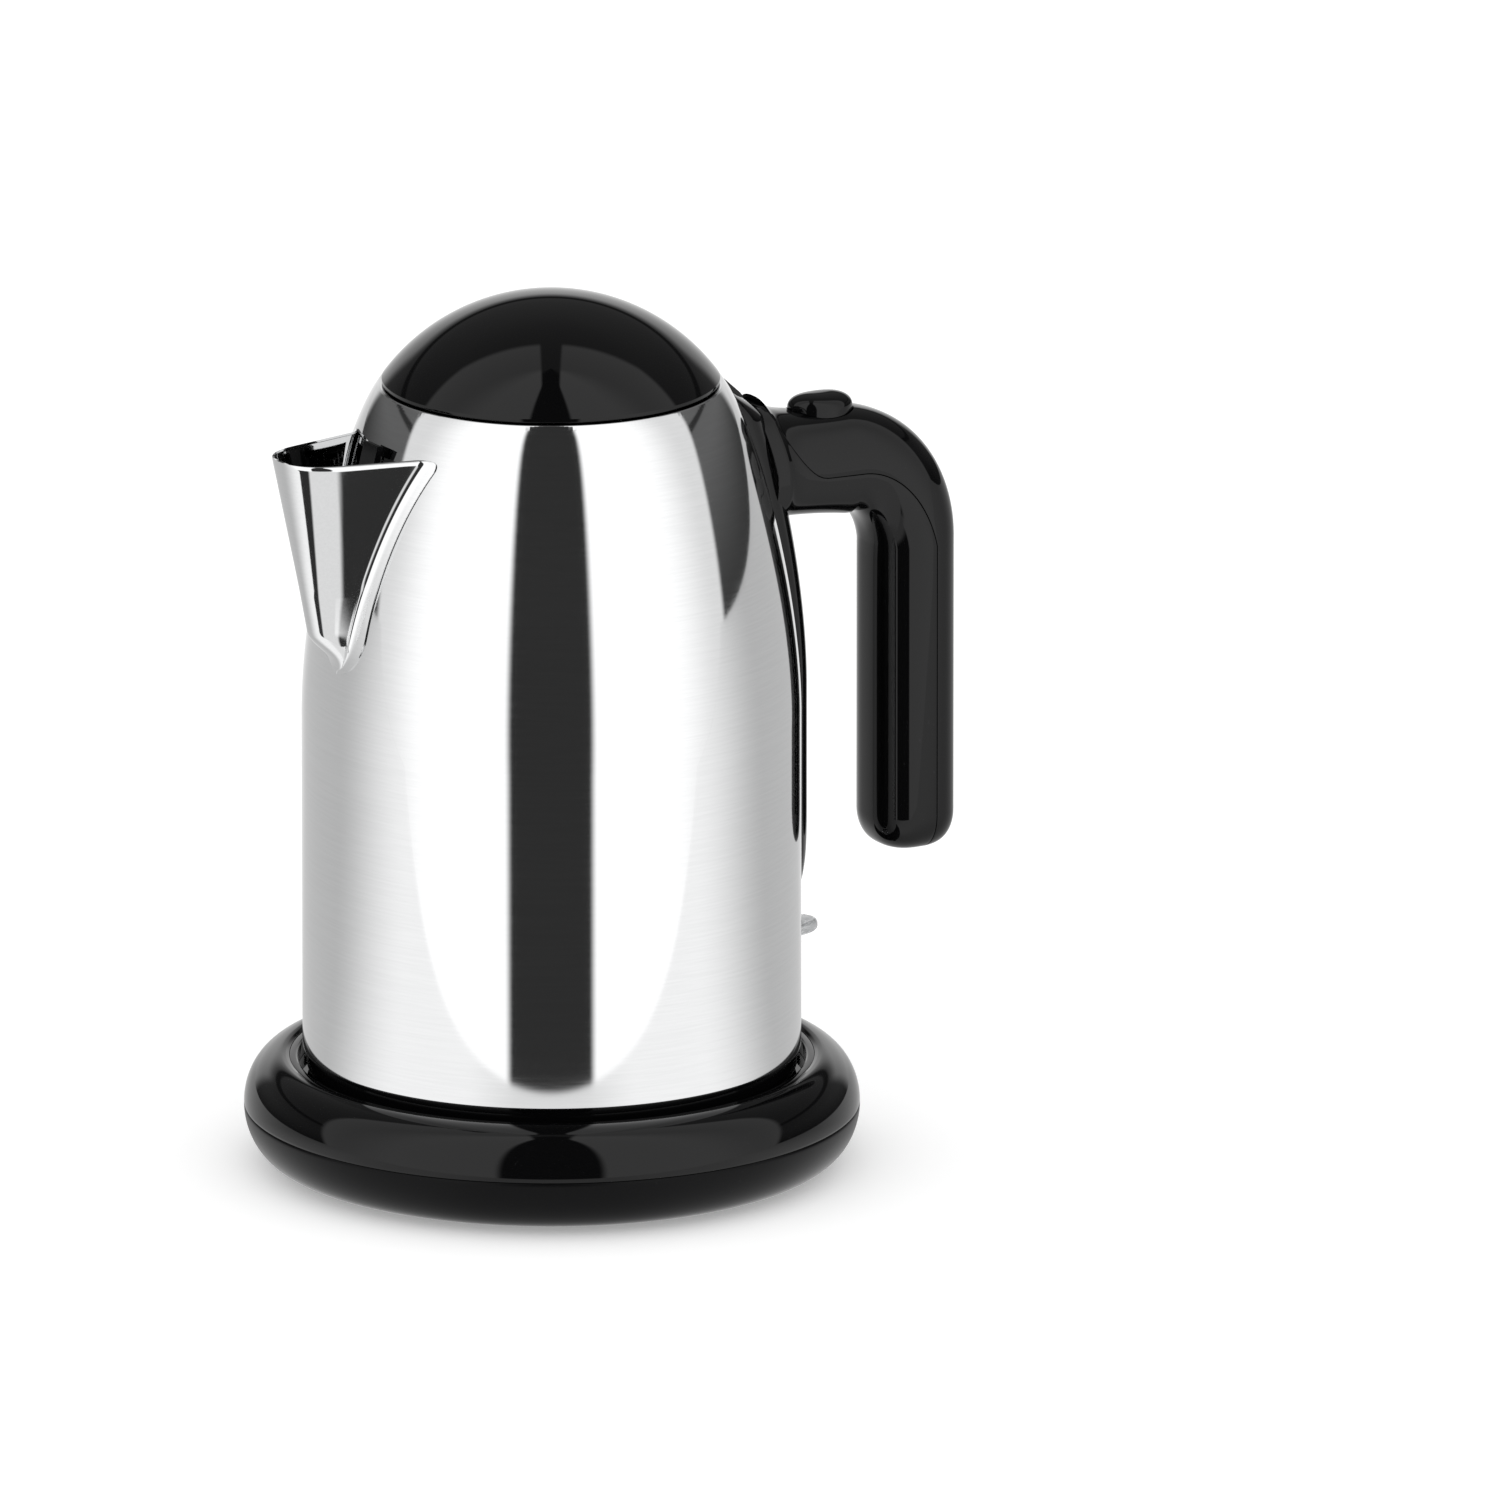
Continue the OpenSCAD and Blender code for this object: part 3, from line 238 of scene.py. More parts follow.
def skin_group():
    """Moulded plastic: a fine skin, a slow ripple, and the faint marks of handling and dust."""
    g = bpy.data.node_groups.new("moulded skin", "ShaderNodeTree")
    sockets_in(g, Grain_size=("Float", 1400.0), Ripple_size=("Float", 60.0), Mark_size=("Float", 420.0))
    sockets_out(g, Grain="Float", Ripple="Float", Marks="Float")
    gi, go = g.nodes.new("NodeGroupInput"), g.nodes.new("NodeGroupOutput")
    co = g.nodes.new("ShaderNodeTexCoord").outputs["Object"]
    g.links.new(noise(g, co, gi.outputs["Grain size"], 3.0), go.inputs["Grain"])
    g.links.new(noise(g, co, gi.outputs["Ripple size"], 2.0), go.inputs["Ripple"])
    turned = g.nodes.new("ShaderNodeMapping")
    turned.inputs["Rotation"].default_value = (0.5, 0.9, 0.3)
    turned.inputs["Scale"].default_value = (1.0, 14.0, 1.0)
    g.links.new(co, turned.inputs["Vector"])
    hair = ramp(g, noise(g, turned.outputs[0], gi.outputs["Mark size"], 2.0), 0.66, 0.74)
    patch = ramp(g, noise(g, co, 45.0, 2.0), 0.48, 0.68)
    g.links.new(times(g, hair, patch), go.inputs["Marks"])
    return g


STROKES, SKIN = stroke_group(), skin_group()


def new_finish(name):
    m = bpy.data.materials.new(name)
    m.use_nodes = True
    return m, m.node_tree, m.node_tree.nodes["Principled BSDF"]


def bump(tree, shader, height, strength, distance):
    b = tree.nodes.new("ShaderNodeBump")
    b.inputs["Strength"].default_value = strength
    b.inputs["Distance"].default_value = distance
    tree.links.new(height, b.inputs["Height"])
    tree.links.new(b.outputs["Normal"], shader.inputs["Normal"])


def metal(name, dark, light, rough, rough_spread, along, across, contrast, depth):
    """Bare metal with strokes that run round the Z axis."""
    m, t, p = new_finish(name)
    g = t.nodes.new("ShaderNodeGroup")
    g.node_tree = STROKES
    g.inputs["Along"].default_value = along
    g.inputs["Across"].default_value = across
    g.inputs["Contrast"].default_value = contrast
    p.inputs["Metallic"].default_value = 1.0
    t.links.new(blend_colour(t, g.outputs["Strokes"], (*dark, 1), (*light, 1)), p.inputs["Base Color"])
    both = plus(t, times(t, g.outputs["Strokes"], 0.65), times(t, g.outputs["Cloud"], 0.35))
    low, high = rough - rough_spread, rough + rough_spread
    t.links.new(ramp(t, both, 0.0, 1.0, low, high, False), p.inputs["Roughness"])
    bump(t, p, g.outputs["Strokes"], 0.25, depth)
    return m


def plastic(name, colour, marked, rough, mark_rough, grain, grain_depth, ripple_depth=0.0, specular=0.5):
    """Black or coloured plastic or rubber, paler and rougher where it is marked."""
    m, t, p = new_finish(name)
    g = t.nodes.new("ShaderNodeGroup")
    g.node_tree = SKIN
    g.inputs["Grain size"].default_value = grain
    p.inputs["Specular IOR Level"].default_value = specular
    t.links.new(blend_colour(t, g.outputs["Marks"], (*colour, 1), (*marked, 1)), p.inputs["Base Color"])
    t.links.new(ramp(t, g.outputs["Marks"], 0.0, 1.0, rough, mark_rough, False), p.inputs["Roughness"])
    height = plus(t, times(t, g.outputs["Grain"], grain_depth), times(t, g.outputs["Ripple"], ripple_depth))
    bump(t, p, height, 1.0, 1.0)
    return m


def clear_plastic(name, tint, specks, rough, clear):
    m, t, p = new_finish(name)
    g = t.nodes.new("ShaderNodeGroup")
    g.node_tree = SKIN
    p.inputs["Transmission Weight"].default_value = clear
    p.inputs["IOR"].default_value = 1.49
    t.links.new(blend_colour(t, g.outputs["Marks"], (*tint, 1), (*specks, 1)), p.inputs["Base Color"])
    t.links.new(ramp(t, g.outputs["Marks"], 0.0, 1.0, rough, rough + 0.2, False), p.inputs["Roughness"])
    bump(t, p, g.outputs["Ripple"], 0.3, 2e-5)
    return m


GLOSS = plastic("gloss black plastic", (0.0022, 0.0022, 0.0024), (0.009, 0.009, 0.0095),
                rough=0.035, mark_rough=0.16, grain=900.0, grain_depth=1.0e-7, ripple_depth=3.5e-6,
                specular=0.24)
SATIN = plastic("satin black plastic", (0.0035, 0.0035, 0.0038), (0.011, 0.011, 0.011),
                rough=0.3, mark_rough=0.42, grain=2600.0, grain_depth=5e-6, specular=0.08)
RUBBER = plastic("black rubber", (0.014, 0.014, 0.014), (0.03, 0.03, 0.03), rough=0.62, mark_rough=0.75,
                 grain=1800.0, grain_depth=1.2e-5, specular=0.2)
CREAM = plastic("cream thermoset", (0.62, 0.58, 0.47), (0.5, 0.46, 0.38), rough=0.42, mark_rough=0.55,
                grain=1900.0, grain_depth=6e-6)
SEAL = plastic("silicone seal", (0.62, 0.62, 0.6), (0.5, 0.5, 0.48), rough=0.45, mark_rough=0.6,
               grain=1500.0, grain_depth=5e-6)
POLISHED = metal("polished steel", (0.612, 0.615, 0.618), (0.635, 0.638, 0.641),
                 rough=0.055, rough_spread=0.012, along=4.0, across=1500.0, contrast=0.45, depth=8.0e-8)
BRUSHED = metal("brushed steel", (0.50, 0.505, 0.51), (0.66, 0.665, 0.67), rough=0.26, rough_spread=0.08,
                along=9.0, across=5200.0, contrast=0.4, depth=6e-6)
ZINC = metal("zinc plated steel", (0.42, 0.43, 0.45), (0.62, 0.63, 0.66), rough=0.3, rough_spread=0.08,
             along=30.0, across=4000.0, contrast=0.5, depth=3e-6)
ALLOY = metal("pressed aluminium", (0.58, 0.59, 0.6), (0.74, 0.75, 0.76), rough=0.38, rough_spread=0.1,
              along=20.0, across=2600.0, contrast=0.5, depth=6e-6)
BRASS = metal("plain brass", (0.55, 0.38, 0.15), (0.78, 0.6, 0.3), rough=0.28, rough_spread=0.08,
              along=20.0, across=3000.0, contrast=0.5, depth=4e-6)
CLEAR = clear_plastic("clear lever plastic", (0.9, 0.91, 0.92), (0.8, 0.8, 0.8), rough=0.12, clear=0.6)
DARK_WIRE = metal("dark woven wire", (0.05, 0.05, 0.052), (0.12, 0.12, 0.12), rough=0.3, rough_spread=0.08,
                  along=9.0, across=5200.0, contrast=0.4, depth=2e-6)
LAMP = clear_plastic("lamp glass", (1.0, 0.72, 0.4), (0.8, 0.6, 0.4), rough=0.1, clear=0.85)


# ------------------------------------------------------------------ mesh helpers
def plain_mesh(obj):
    """The evaluated object as a plain mesh, with its modifiers removed."""
    dg = bpy.context.evaluated_depsgraph_get()
    made = bpy.data.meshes.new_from_object(obj.evaluated_get(dg))
    obj.modifiers.clear()
    obj.data = made
    return obj


def tidy(obj):
    """Welds a closed piece and turns its faces outward."""
    b = bmesh.new()
    b.from_mesh(obj.data)
    bmesh.ops.remove_doubles(b, verts=b.verts, dist=2e-6)
    bmesh.ops.recalc_face_normals(b, faces=b.faces)
    if b.calc_volume(signed=True) < 0:
        bmesh.ops.reverse_faces(b, faces=b.faces)
    b.to_mesh(obj.data)
    b.free()


def settle(obj, body, finish, nodes=(), sharp=32):
    """Last steps for every piece: smooth shading, finish, the nodes it stands for and its body."""
    me = obj.data
    for p in me.polygons:
        p.use_smooth = True
    if sharp:
        me.set_sharp_from_angle(angle=math.radians(sharp))
    me.materials.clear()
    me.materials.append(finish)
    if nodes:
        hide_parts(*nodes)
    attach(obj, body)
    return obj


def mesh_object(name, points, faces, edges=()):
    me = bpy.data.meshes.new(name)
    me.from_pydata([tuple(c * MM for c in p) for p in points], list(edges), faces)
    me.update()
    obj = bpy.data.objects.new(name, me)
    scene.collection.objects.link(obj)
    return obj


def loft(name, rings, open_ring=False, caps=True):
    """Skin through rings of equal length."""
    n, m = len(rings[0]), len(rings)
    points = [p for r in rings for p in r]
    last = n - 1 if open_ring else n
    faces = [(j * n + i, j * n + (i + 1) % n, (j + 1) * n + (i + 1) % n, (j + 1) * n + i)
             for j in range(m - 1) for i in range(last)]
    if caps:
        faces += [tuple(range(n))[::-1], tuple((m - 1) * n + i for i in range(n))]
    obj = mesh_object(name, points, faces)
    if caps:
        tidy(obj)
    return obj


def bevel(obj, width, segments=3, angle=40):
    m = obj.modifiers.new("edge", "BEVEL")
    m.width = width * MM
    m.segments = segments
    m.limit_method = "ANGLE"
    m.angle_limit = math.radians(angle)
    return plain_mesh(obj)


def cut(obj, *cutters):
    for c in cutters:
        m = obj.modifiers.new("cut", "BOOLEAN")
        m.operation = "DIFFERENCE"
        m.solver = "EXACT"
        m.object = c
    plain_mesh(obj)
    for c in cutters:
        bpy.data.objects.remove(c)
    return obj


def prism(name, outline, low, high, axis="z"):
    """Outline drawn in two axes and drawn out along the third."""
    places = {"z": lambda a, b, h: (a, b, h), "y": lambda a, b, h: (a, h, b), "x": lambda a, b, h: (h, a, b)}
    return loft(name, [[places[axis](a, b, h) for a, b in outline] for h in (low, high)])


# ------------------------------------------------------------------ geometry node trees
def tree_start(name, **inputs):
    t = bpy.data.node_groups.new(name, "GeometryNodeTree")
    t.interface.new_socket("Geometry", in_out="INPUT", socket_type="NodeSocketGeometry")
    sockets_in(t, **inputs)
    t.interface.new_socket("Geometry", in_out="OUTPUT", socket_type="NodeSocketGeometry")
    return t, t.nodes.new("NodeGroupInput"), t.nodes.new("NodeGroupOutput")


def add(t, kind, **fed):
    n = t.nodes.new("GeometryNode" + kind)
    for name, v in fed.items():
        feed(t, n.inputs[name.replace("_", " ")], v)
    return n


def tree_end(t, gi, go, geometry):
    real = add(t, "RealizeInstances", Geometry=geometry)
    done = add(t, "SetMaterial", Geometry=real.outputs[0], Material=gi.outputs["Finish"])
    t.links.new(done.outputs[0], go.inputs[0])
    return t


def turned_tree():
    """Turns a profile, drawn as edges in X and Y, round the Z axis."""
    t, gi, go = tree_start("turned piece", Steps_round=("Int", 192), Path_radius=("Float", 0.1),
                           Finish=("Material", None))
    profile = add(t, "MeshToCurve", Mesh=gi.outputs["Geometry"])
    path = add(t, "CurvePrimitiveCircle", Resolution=gi.outputs["Steps round"],
               Radius=gi.outputs["Path radius"])
    skin = add(t, "CurveToMesh", Curve=path.outputs[0], Profile_Curve=profile.outputs[0])
    weld = add(t, "MergeByDistance", Geometry=skin.outputs[0], Distance=1e-6)
    return tree_end(t, gi, go, weld.outputs[0])


def set_tree(obj, tree, **values):
    m = obj.modifiers.new("build", "NODES")
    m.node_group = tree
    for item in tree.interface.items_tree:
        key = item.name.replace(" ", "_")
        if item.in_out == "INPUT" and key in values:
            m[item.identifier] = values[key]
    return obj


TURNED = turned_tree()
PATH_R = 100.0  # circle that profiles are drawn along; they are set back by as much


def turned(name, profile, closed, finish, steps=192):
    """A profile of (radius, height) points turned round the Z axis."""
    n = len(profile)
    edges = [(i, i + 1) for i in range(n - 1)] + ([(n - 1, 0)] if closed else [])
    obj = mesh_object(name, [(r - PATH_R, -z, 0) for r, z in profile], [], edges)
    set_tree(obj, TURNED, Steps_round=steps, Path_radius=PATH_R * MM, Finish=finish)
    plain_mesh(obj)
    tidy(obj)
    return obj


def true_normals(obj, profile_normal, limit=0.9):
    """Gives a turned piece that was cut the normals of its own curve."""
    me = obj.data
    for p in me.polygons:
        p.use_smooth = True
    normals = []
    for p in me.polygons:
        for li in p.loop_indices:
            v = me.vertices[me.loops[li].vertex_index].co
            n = profile_normal(v / MM)
            if n is None:
                normals.append(p.normal)
            else:
                side = n.dot(p.normal)
                normals.append(n if side > limit else (-n if side < -limit else p.normal))
    me.normals_split_custom_set([tuple(n) for n in normals])


# ------------------------------------------------------------------ steel body
def shell_profile():
    outer = [(BODY_R - 0.45, SKIRT_TOP), (BODY_R - 0.12, SKIRT_TOP + 0.15), (BODY_R, SKIRT_TOP + 0.6)]
    outer += [(BODY_R, mix(SKIRT_TOP + 0.6, STRAIGHT_TOP, i / 12)) for i in range(1, 12)]
    outer += [shoulder(i / 110) for i in range(109)]
    rim = rounded([shoulder(0.985), (RIM_R + 0.05, RIM_Z - 0.05), (RIM_R - 1.6, RIM_Z)], (0, 0.9, 0), 5)[1:]
    lip = rounded([(RIM_R - 1.6, RIM_Z), (MOUTH_R, RIM_Z), (MOUTH_R, RIM_Z - STEEL_WALL)], (0, 0.5, 0), 4)[1:]
    inner = [(r - STEEL_WALL, min(z, RIM_Z - STEEL_WALL))
             for r, z in (shoulder(i / 40) for i in range(40, -1, -1))]
    return outer + rim + lip + inner + [(BODY_R - STEEL_WALL, SKIRT_TOP)]


def shell_normal(v):
    """Normal of the steel's own curve at a point, or None on its edges and on the cuts."""
    r, z = math.hypot(v.x, v.y), v.z
    if z > RIM_Z - 1.2 or z < SKIRT_TOP + 0.5:
        return None
    off = steel_r(z) - r
    if off > 0.05 and abs(off - STEEL_WALL) > 0.2:
        return None
    slope = (steel_r(z + 0.05) - steel_r(z - 0.05)) / 0.1 if z > STRAIGHT_TOP else 0.0
    return Vector((v.x / r, v.y / r, -slope)).normalized()


def v_half(z):
    """Half width of the V opening behind the spout."""
    return max(1.4, 20.0 * ((z - SPOUT_LOW) / SPOUT_H) ** 0.62) - 3


body = turned("steel_body", shell_profile(), True, POLISHED, 256)
V_LOW, V_HIGH = SPOUT_LOW + 12, SPOUT_TOP - 2.5
lever_hole = rounded([(-6.8, 53.7), (6.8, 53.7), (6.8, 59.9), (-6.8, 59.9)], (1, 1, 1, 1), 4, True)
cut(body,
    prism("v_cut", [(v_half(V_LOW), V_LOW), (v_half(V_HIGH), V_HIGH), (-v_half(V_HIGH), V_HIGH),
                    (-v_half(V_LOW), V_LOW)], -100, -30, "x"),
    prism("lever_cut", lever_hole, 66, 80, "x"),
    prism("ear_cut", [(-5.3, 219.2), (5.3, 219.2), (5.3, 240), (-5.3, 240)], 44, 70, "x"))
settle(body, "kettle", POLISHED, ["body_shell"], 0)
true_normals(body, shell_normal)


# ------------------------------------------------------------------ spout
SIDE_RUN = Vector((0.979, 0.203))  # direction of the flat sides, back to the body
SIDE_X, SIDE_Y = (80.0, 91.9), (0.15, 12.8)  # where the sides start, at the foot and at the rim
NOSE_X, NOSE_SHARE = (78.8, 90.9), (0.9, 0.56)  # tip of the nose and share of its width that is flat
SIDE_LOW, SIDE_RISE = 160.0, 62.5
TOE_LOW, TOE_RISE, TOE_ROUND_LOW, TOE_ROUND = 156.9, 12.5, 157.3, 9.0
FLANGE_GROWTH, FLANGE_ROUND, FLANGE_SPREAD, FLANGE_TRIM = 12.0, 13.0, 12.9, 3.0
FLANGE_STAND, FLANGE_EDGE, SPOUT_SHEET = (0.45, 1.0), 0.42, 0.6


def bend(a, c, b, n):
    """Smooth bend from a to b that points at c on both sides."""
    return [a * (1 - t) ** 2 + c * 2 * t * (1 - t) + b * t * t for t in (k / n for k in range(n + 1))]


def spout_outline(z):
    """Outer skin from the middle of the nose to the end of the flange, on the +Y side."""
    r, h = steel_r(z), z - SPOUT_LOW + 0.12
    s = clamp((z - SIDE_LOW) / SIDE_RISE)
    toe, spread = ease(clamp((z - TOE_LOW) / TOE_RISE)), swell(clamp((z - TOE_ROUND_LOW) / TOE_ROUND))
    near_rim = clamp((z - SPOUT_TOP + 3.0) / 3.0)
    wide = (FLANGE_GROWTH * swell(clamp(h / FLANGE_ROUND)) + FLANGE_SPREAD * (h / SPOUT_H) ** 2
            - FLANGE_TRIM * drop(near_rim))
    stand = mix(*FLANGE_STAND, toe)
    # flat side, from the nose to where it meets the body
    line = Vector((-mix(*SIDE_X, s), mix(*SIDE_Y, s)))
    b = line.dot(SIDE_RUN)
    reach = -b - math.sqrt(max(0.0, b * b - line.length_squared + (r + 1.0) ** 2))
    half = line.y + SIDE_RUN.y * max(0.2, reach) + 4.2 * (1 - s) ** 2
    half = min(0.86 * wide, max(0.8, half * spread))
    root = Vector((-math.sqrt((r + stand) ** 2 - half * half), half))
    # round of the nose
    tip = mix(r + stand + 0.1, mix(*NOSE_X, s), toe)
    front, corner = Vector((-tip, 0.0)), Vector((-tip, half * mix(*NOSE_SHARE, s)))
    side = root - corner
    bent = corner + side * min(0.86, 13.0 / max(side.length, 0.1))
    # flange, round the body
    turn = max(math.asin(wide / r), math.atan2(root.y, -root.x) + 0.05 / r)
    rim = r + FLANGE_EDGE
    end = Vector((-rim * math.cos(turn), rim * math.sin(turn)))
    fold = mix(0.3, 2.0, toe)
    into, away = bent - root, end - root
    first = bend(front, corner, bent, 14)
    second = bend(root + into.normalized() * min(fold, into.length * 0.6), root,
                  root + away.normalized() * min(fold, away.length * 0.5), 8)
    flange = []
    last = math.atan2(second[-1].y, -second[-1].x)
    for k in (1, 2, 3, 4):
        angle, out = mix(last, turn, k / 4), mix(second[-1].length, end.length, k / 4)
        flange.append(Vector((-out * math.cos(angle), out * math.sin(angle))))
    flat = [first[-1].lerp(second[0], k / 8) for k in range(1, 8)]
    return [(p.x, p.y) for p in first + flat + second + flange]


def spout_mesh():
    rings = []
    heights = [SPOUT_LOW + (SPOUT_H - 3.0) * (i / 60) ** 1.5 for i in range(61)]
    heights += [SPOUT_TOP - d for d in (2.3, 1.7, 1.2, 0.8, 0.45, 0.2, 0.05, 0.0)]
    for z in heights:
        half = spout_outline(z)
        rings.append([(x, -y, z) for x, y in half[::-1]] + [(x, y, z) for x, y in half[1:]])
    obj = loft("spout_sheet", rings, open_ring=True, caps=False)
    me = obj.data
    b = bmesh.new()
    b.from_mesh(me)
    bmesh.ops.recalc_face_normals(b, faces=b.faces)
    facing = sum(1 if f.normal.x < 0 else -1 for f in b.faces if abs(f.calc_center_median().y) < 4 * MM)
    if facing < 0:
        bmesh.ops.reverse_faces(b, faces=b.faces)
    b.to_mesh(me)
    b.free()
    m = obj.modifiers.new("sheet", "SOLIDIFY")
    m.thickness = SPOUT_SHEET * MM
    m.offset = -1.0
    return plain_mesh(obj)


settle(spout_mesh(), "kettle", POLISHED, ["spout"], 50)


# ------------------------------------------------------------------ lid
DOME_Z, DOME_EDGE, DOME_RISE, DOME_WALL = 234.9, 1.2, 25.0, 2.2
DOME_RIM = RIM_R - 1
DOME_SPHERE = (DOME_RIM ** 2 + DOME_RISE ** 2) / (2 * DOME_RISE)
DOME_C = DOME_Z + DOME_EDGE + DOME_RISE - DOME_SPHERE


def dome_z(r, sphere):
    return DOME_C + math.sqrt(sphere * sphere - r * r)


def dome_profile():
    top = [(r, dome_z(r, DOME_SPHERE))
           for r in (DOME_RIM * math.sin(math.pi / 2 * i / 64) for i in range(64))]
    edge = rounded([top[-1], (DOME_RIM, DOME_Z + DOME_EDGE), (DOME_RIM, DOME_Z), (DOME_RIM - 1.2, DOME_Z)],
                   (0, 0.7, 0.35, 0), 5)[1:]
    in_r, in_sphere = DOME_RIM - DOME_WALL, DOME_SPHERE - DOME_WALL
    under = [(r, dome_z(r, in_sphere))
             for r in (in_r * math.cos(math.pi / 2 * i / 24) for i in range(25))]
    return top + edge + [(in_r, DOME_Z)] + under[:-1] + [(0.0, under[-1][1])]


dome = turned("lid_cap", dome_profile(), False, GLOSS, 192)
settle(dome, "lid", GLOSS, ["lid_dome"], 40)
hx, hz = HINGE
EAR_R, SLOT_R = 2.9, 3.3  # round of the lid's arm about the hinge line, and of the slot that it turns in
ear = [(hx + EAR_R * math.cos(a), hz + EAR_R * math.sin(a))
       for a in (math.radians(45 - 20 * i) for i in range(12))]
arm_outline = ear + rounded([(hx - EAR_R, hz + 0.6), (RIM_R - 2.4, DOME_Z - 4), (MOUTH_R + 0.8, DOME_Z - 1.6),
                             (MOUTH_R - 0.8, DOME_Z + 0.2), (MOUTH_R - 0.8, DOME_Z + 2.4),
                             (DOME_RIM - 0.5, DOME_Z + 1.2)], (1, 2, 0.4, 0.4, 0.4, 3), 4, True)
lid_arm = bevel(prism("lid_hinge_arm", arm_outline, -4.95, 4.95, "y"), 0.5, 3)
settle(lid_arm, "lid", GLOSS)

LINER_H, LINER_T, LINER_R = 5.6, 0.8, MOUTH_R - 1.5
liner_line = rounded([(0, DOME_Z - LINER_H), (14, DOME_Z - LINER_H), (15, DOME_Z - LINER_H + 0.5),
                      (33, DOME_Z - LINER_H + 0.5), (34, DOME_Z - LINER_H), (39, DOME_Z - LINER_H),
                      (LINER_R, DOME_Z - 0.2), (LINER_R, DOME_Z), (MOUTH_R + 1, DOME_Z)],
                     (0, 0.8, 0.8, 0.8, 0.8, 2.5, 0.3, 0.3, 0), 4)
liner_top = [(r - 0.35 if r > 30 else r, z + LINER_T) for r, z in liner_line[::-1]]
liner = turned("lid_liner_pan", liner_line + liner_top, False, BRUSHED, 128)
liner_gap = [(LINER_R - 0.4, -5.15), (60, -5.15), (60, 5.15), (LINER_R - 0.4, 5.15)]
cut(liner, prism("liner_gap", liner_gap, 228, 240))
settle(liner, "lid", BRUSHED, ["lid_liner"], 35)


# ------------------------------------------------------------------ power base and the kettle's skirt
def base_top_profile():
    w = PLASTIC_WALL
    outer = quarter(CREST_R, SEAM_H, BASE_R - CREST_R, CREST_H - SEAM_H, 56)
    lip = rounded([(CREST_R, CREST_H), (77.9, 32.08), (76.87, 31.75), (76.87, CREST_H - w - 0.6)],
                  (0, 1.0, 0.3, 0), 5)[1:]
    inner = quarter(CREST_R, SEAM_H, BASE_R - CREST_R - w, CREST_H - SEAM_H - w, 24)[::-1]
    foot = [(BASE_R - w + 0.2, SEAM_H), (BASE_R - 0.35, SEAM_H), (BASE_R - 0.08, SEAM_H + 0.12)]
    return outer[1:] + lip + inner + foot


base_top = turned("base_cover", base_top_profile(), True, GLOSS, 256)
settle(base_top, "base", GLOSS, ["base_top_cover"], 40)

ring_line = rounded([(74.4, DECK_H + 0.05), (74.4, 31.3), (75.0, 31.6), (76.8, 31.6), (76.8, DECK_H + 0.05)],
                    (0.15, 0.3, 0.25, 0.2, 0.15), 4, True)
settle(turned("well_ring", ring_line, True, GLOSS, 256), "base", GLOSS, ["base_well_ring"], 40)

LOWER_R0, LOWER_ROUND, FOOT_H = BASE_R - 12.4, 12.4, 1.5


def base_low_profile():
    w, h = PLASTIC_WALL, SEAM_H - FOOT_H
    outer = [(r, SEAM_H - z - 0.05) for r, z in quarter(LOWER_R0, 0, LOWER_ROUND, h, 40)]
    outer[0] = (outer[0][0] - 0.35, SEAM_H - 0.12)
    outer.insert(1, (LOWER_R0 + LOWER_ROUND - 0.1, SEAM_H - 0.42))
    # the foot ring sits in a groove of the underside
    under = rounded([(LOWER_R0, FOOT_H - 0.05), (70.05, FOOT_H - 0.05), (70.05, FOOT_H + 1),
                     (63.95, FOOT_H + 1), (63.95, FOOT_H - 0.05), (0, FOOT_H - 0.05)],
                    (0, 0.3, 0.2, 0.2, 0.3, 0), 3)[1:]
    inner = [(r, SEAM_H - z - 0.05) for r, z in quarter(LOWER_R0, 0, LOWER_ROUND - w, h - w, 24)][::-1]
    return outer + under + [(0, FOOT_H + w)] + inner


base_low = turned("base_tray", base_low_profile(), False, SATIN, 256)
settle(base_low, "base", SATIN, ["base_bottom_cover"], 40)

foot_line = rounded([(64.05, 0.25), (64.3, 0), (66.2, 0), (66.5, 0.35), (67.5, 0.35), (67.8, 0), (69.7, 0),
                     (69.95, 0.25), (69.95, 2.45), (64.05, 2.45)], (0.2,) * 10, 3, True)
foot = turned("foot_ring_rubber", foot_line, True, RUBBER, 128)
settle(foot, "base", RUBBER, ["foot_ring"], 40)


def skirt_profile():
    hole, w, skirt_r, inside = 28.3, 2.2, BODY_R - 1.2, BODY_R - 0.95
    points = [(hole, BOTTOM_Z), (skirt_r - 2, BOTTOM_Z), (skirt_r, BOTTOM_Z + 2), (skirt_r, SKIRT_TOP - 0.05),
              (inside, SKIRT_TOP - 0.05), (inside, SKIRT_TOP + 5), (inside - 2, SKIRT_TOP + 5),
              (inside - 2, BOTTOM_Z + w), (hole, BOTTOM_Z + w)]
    return rounded(points, (0.4, 1.0, 1.4, 0, 0, 0.3, 0.3, 0.8, 0.4), 6, True)


skirt = turned("kettle_skirt", skirt_profile(), True, GLOSS, 256)
settle(skirt, "kettle", GLOSS, ["bottom_cover"], 40)


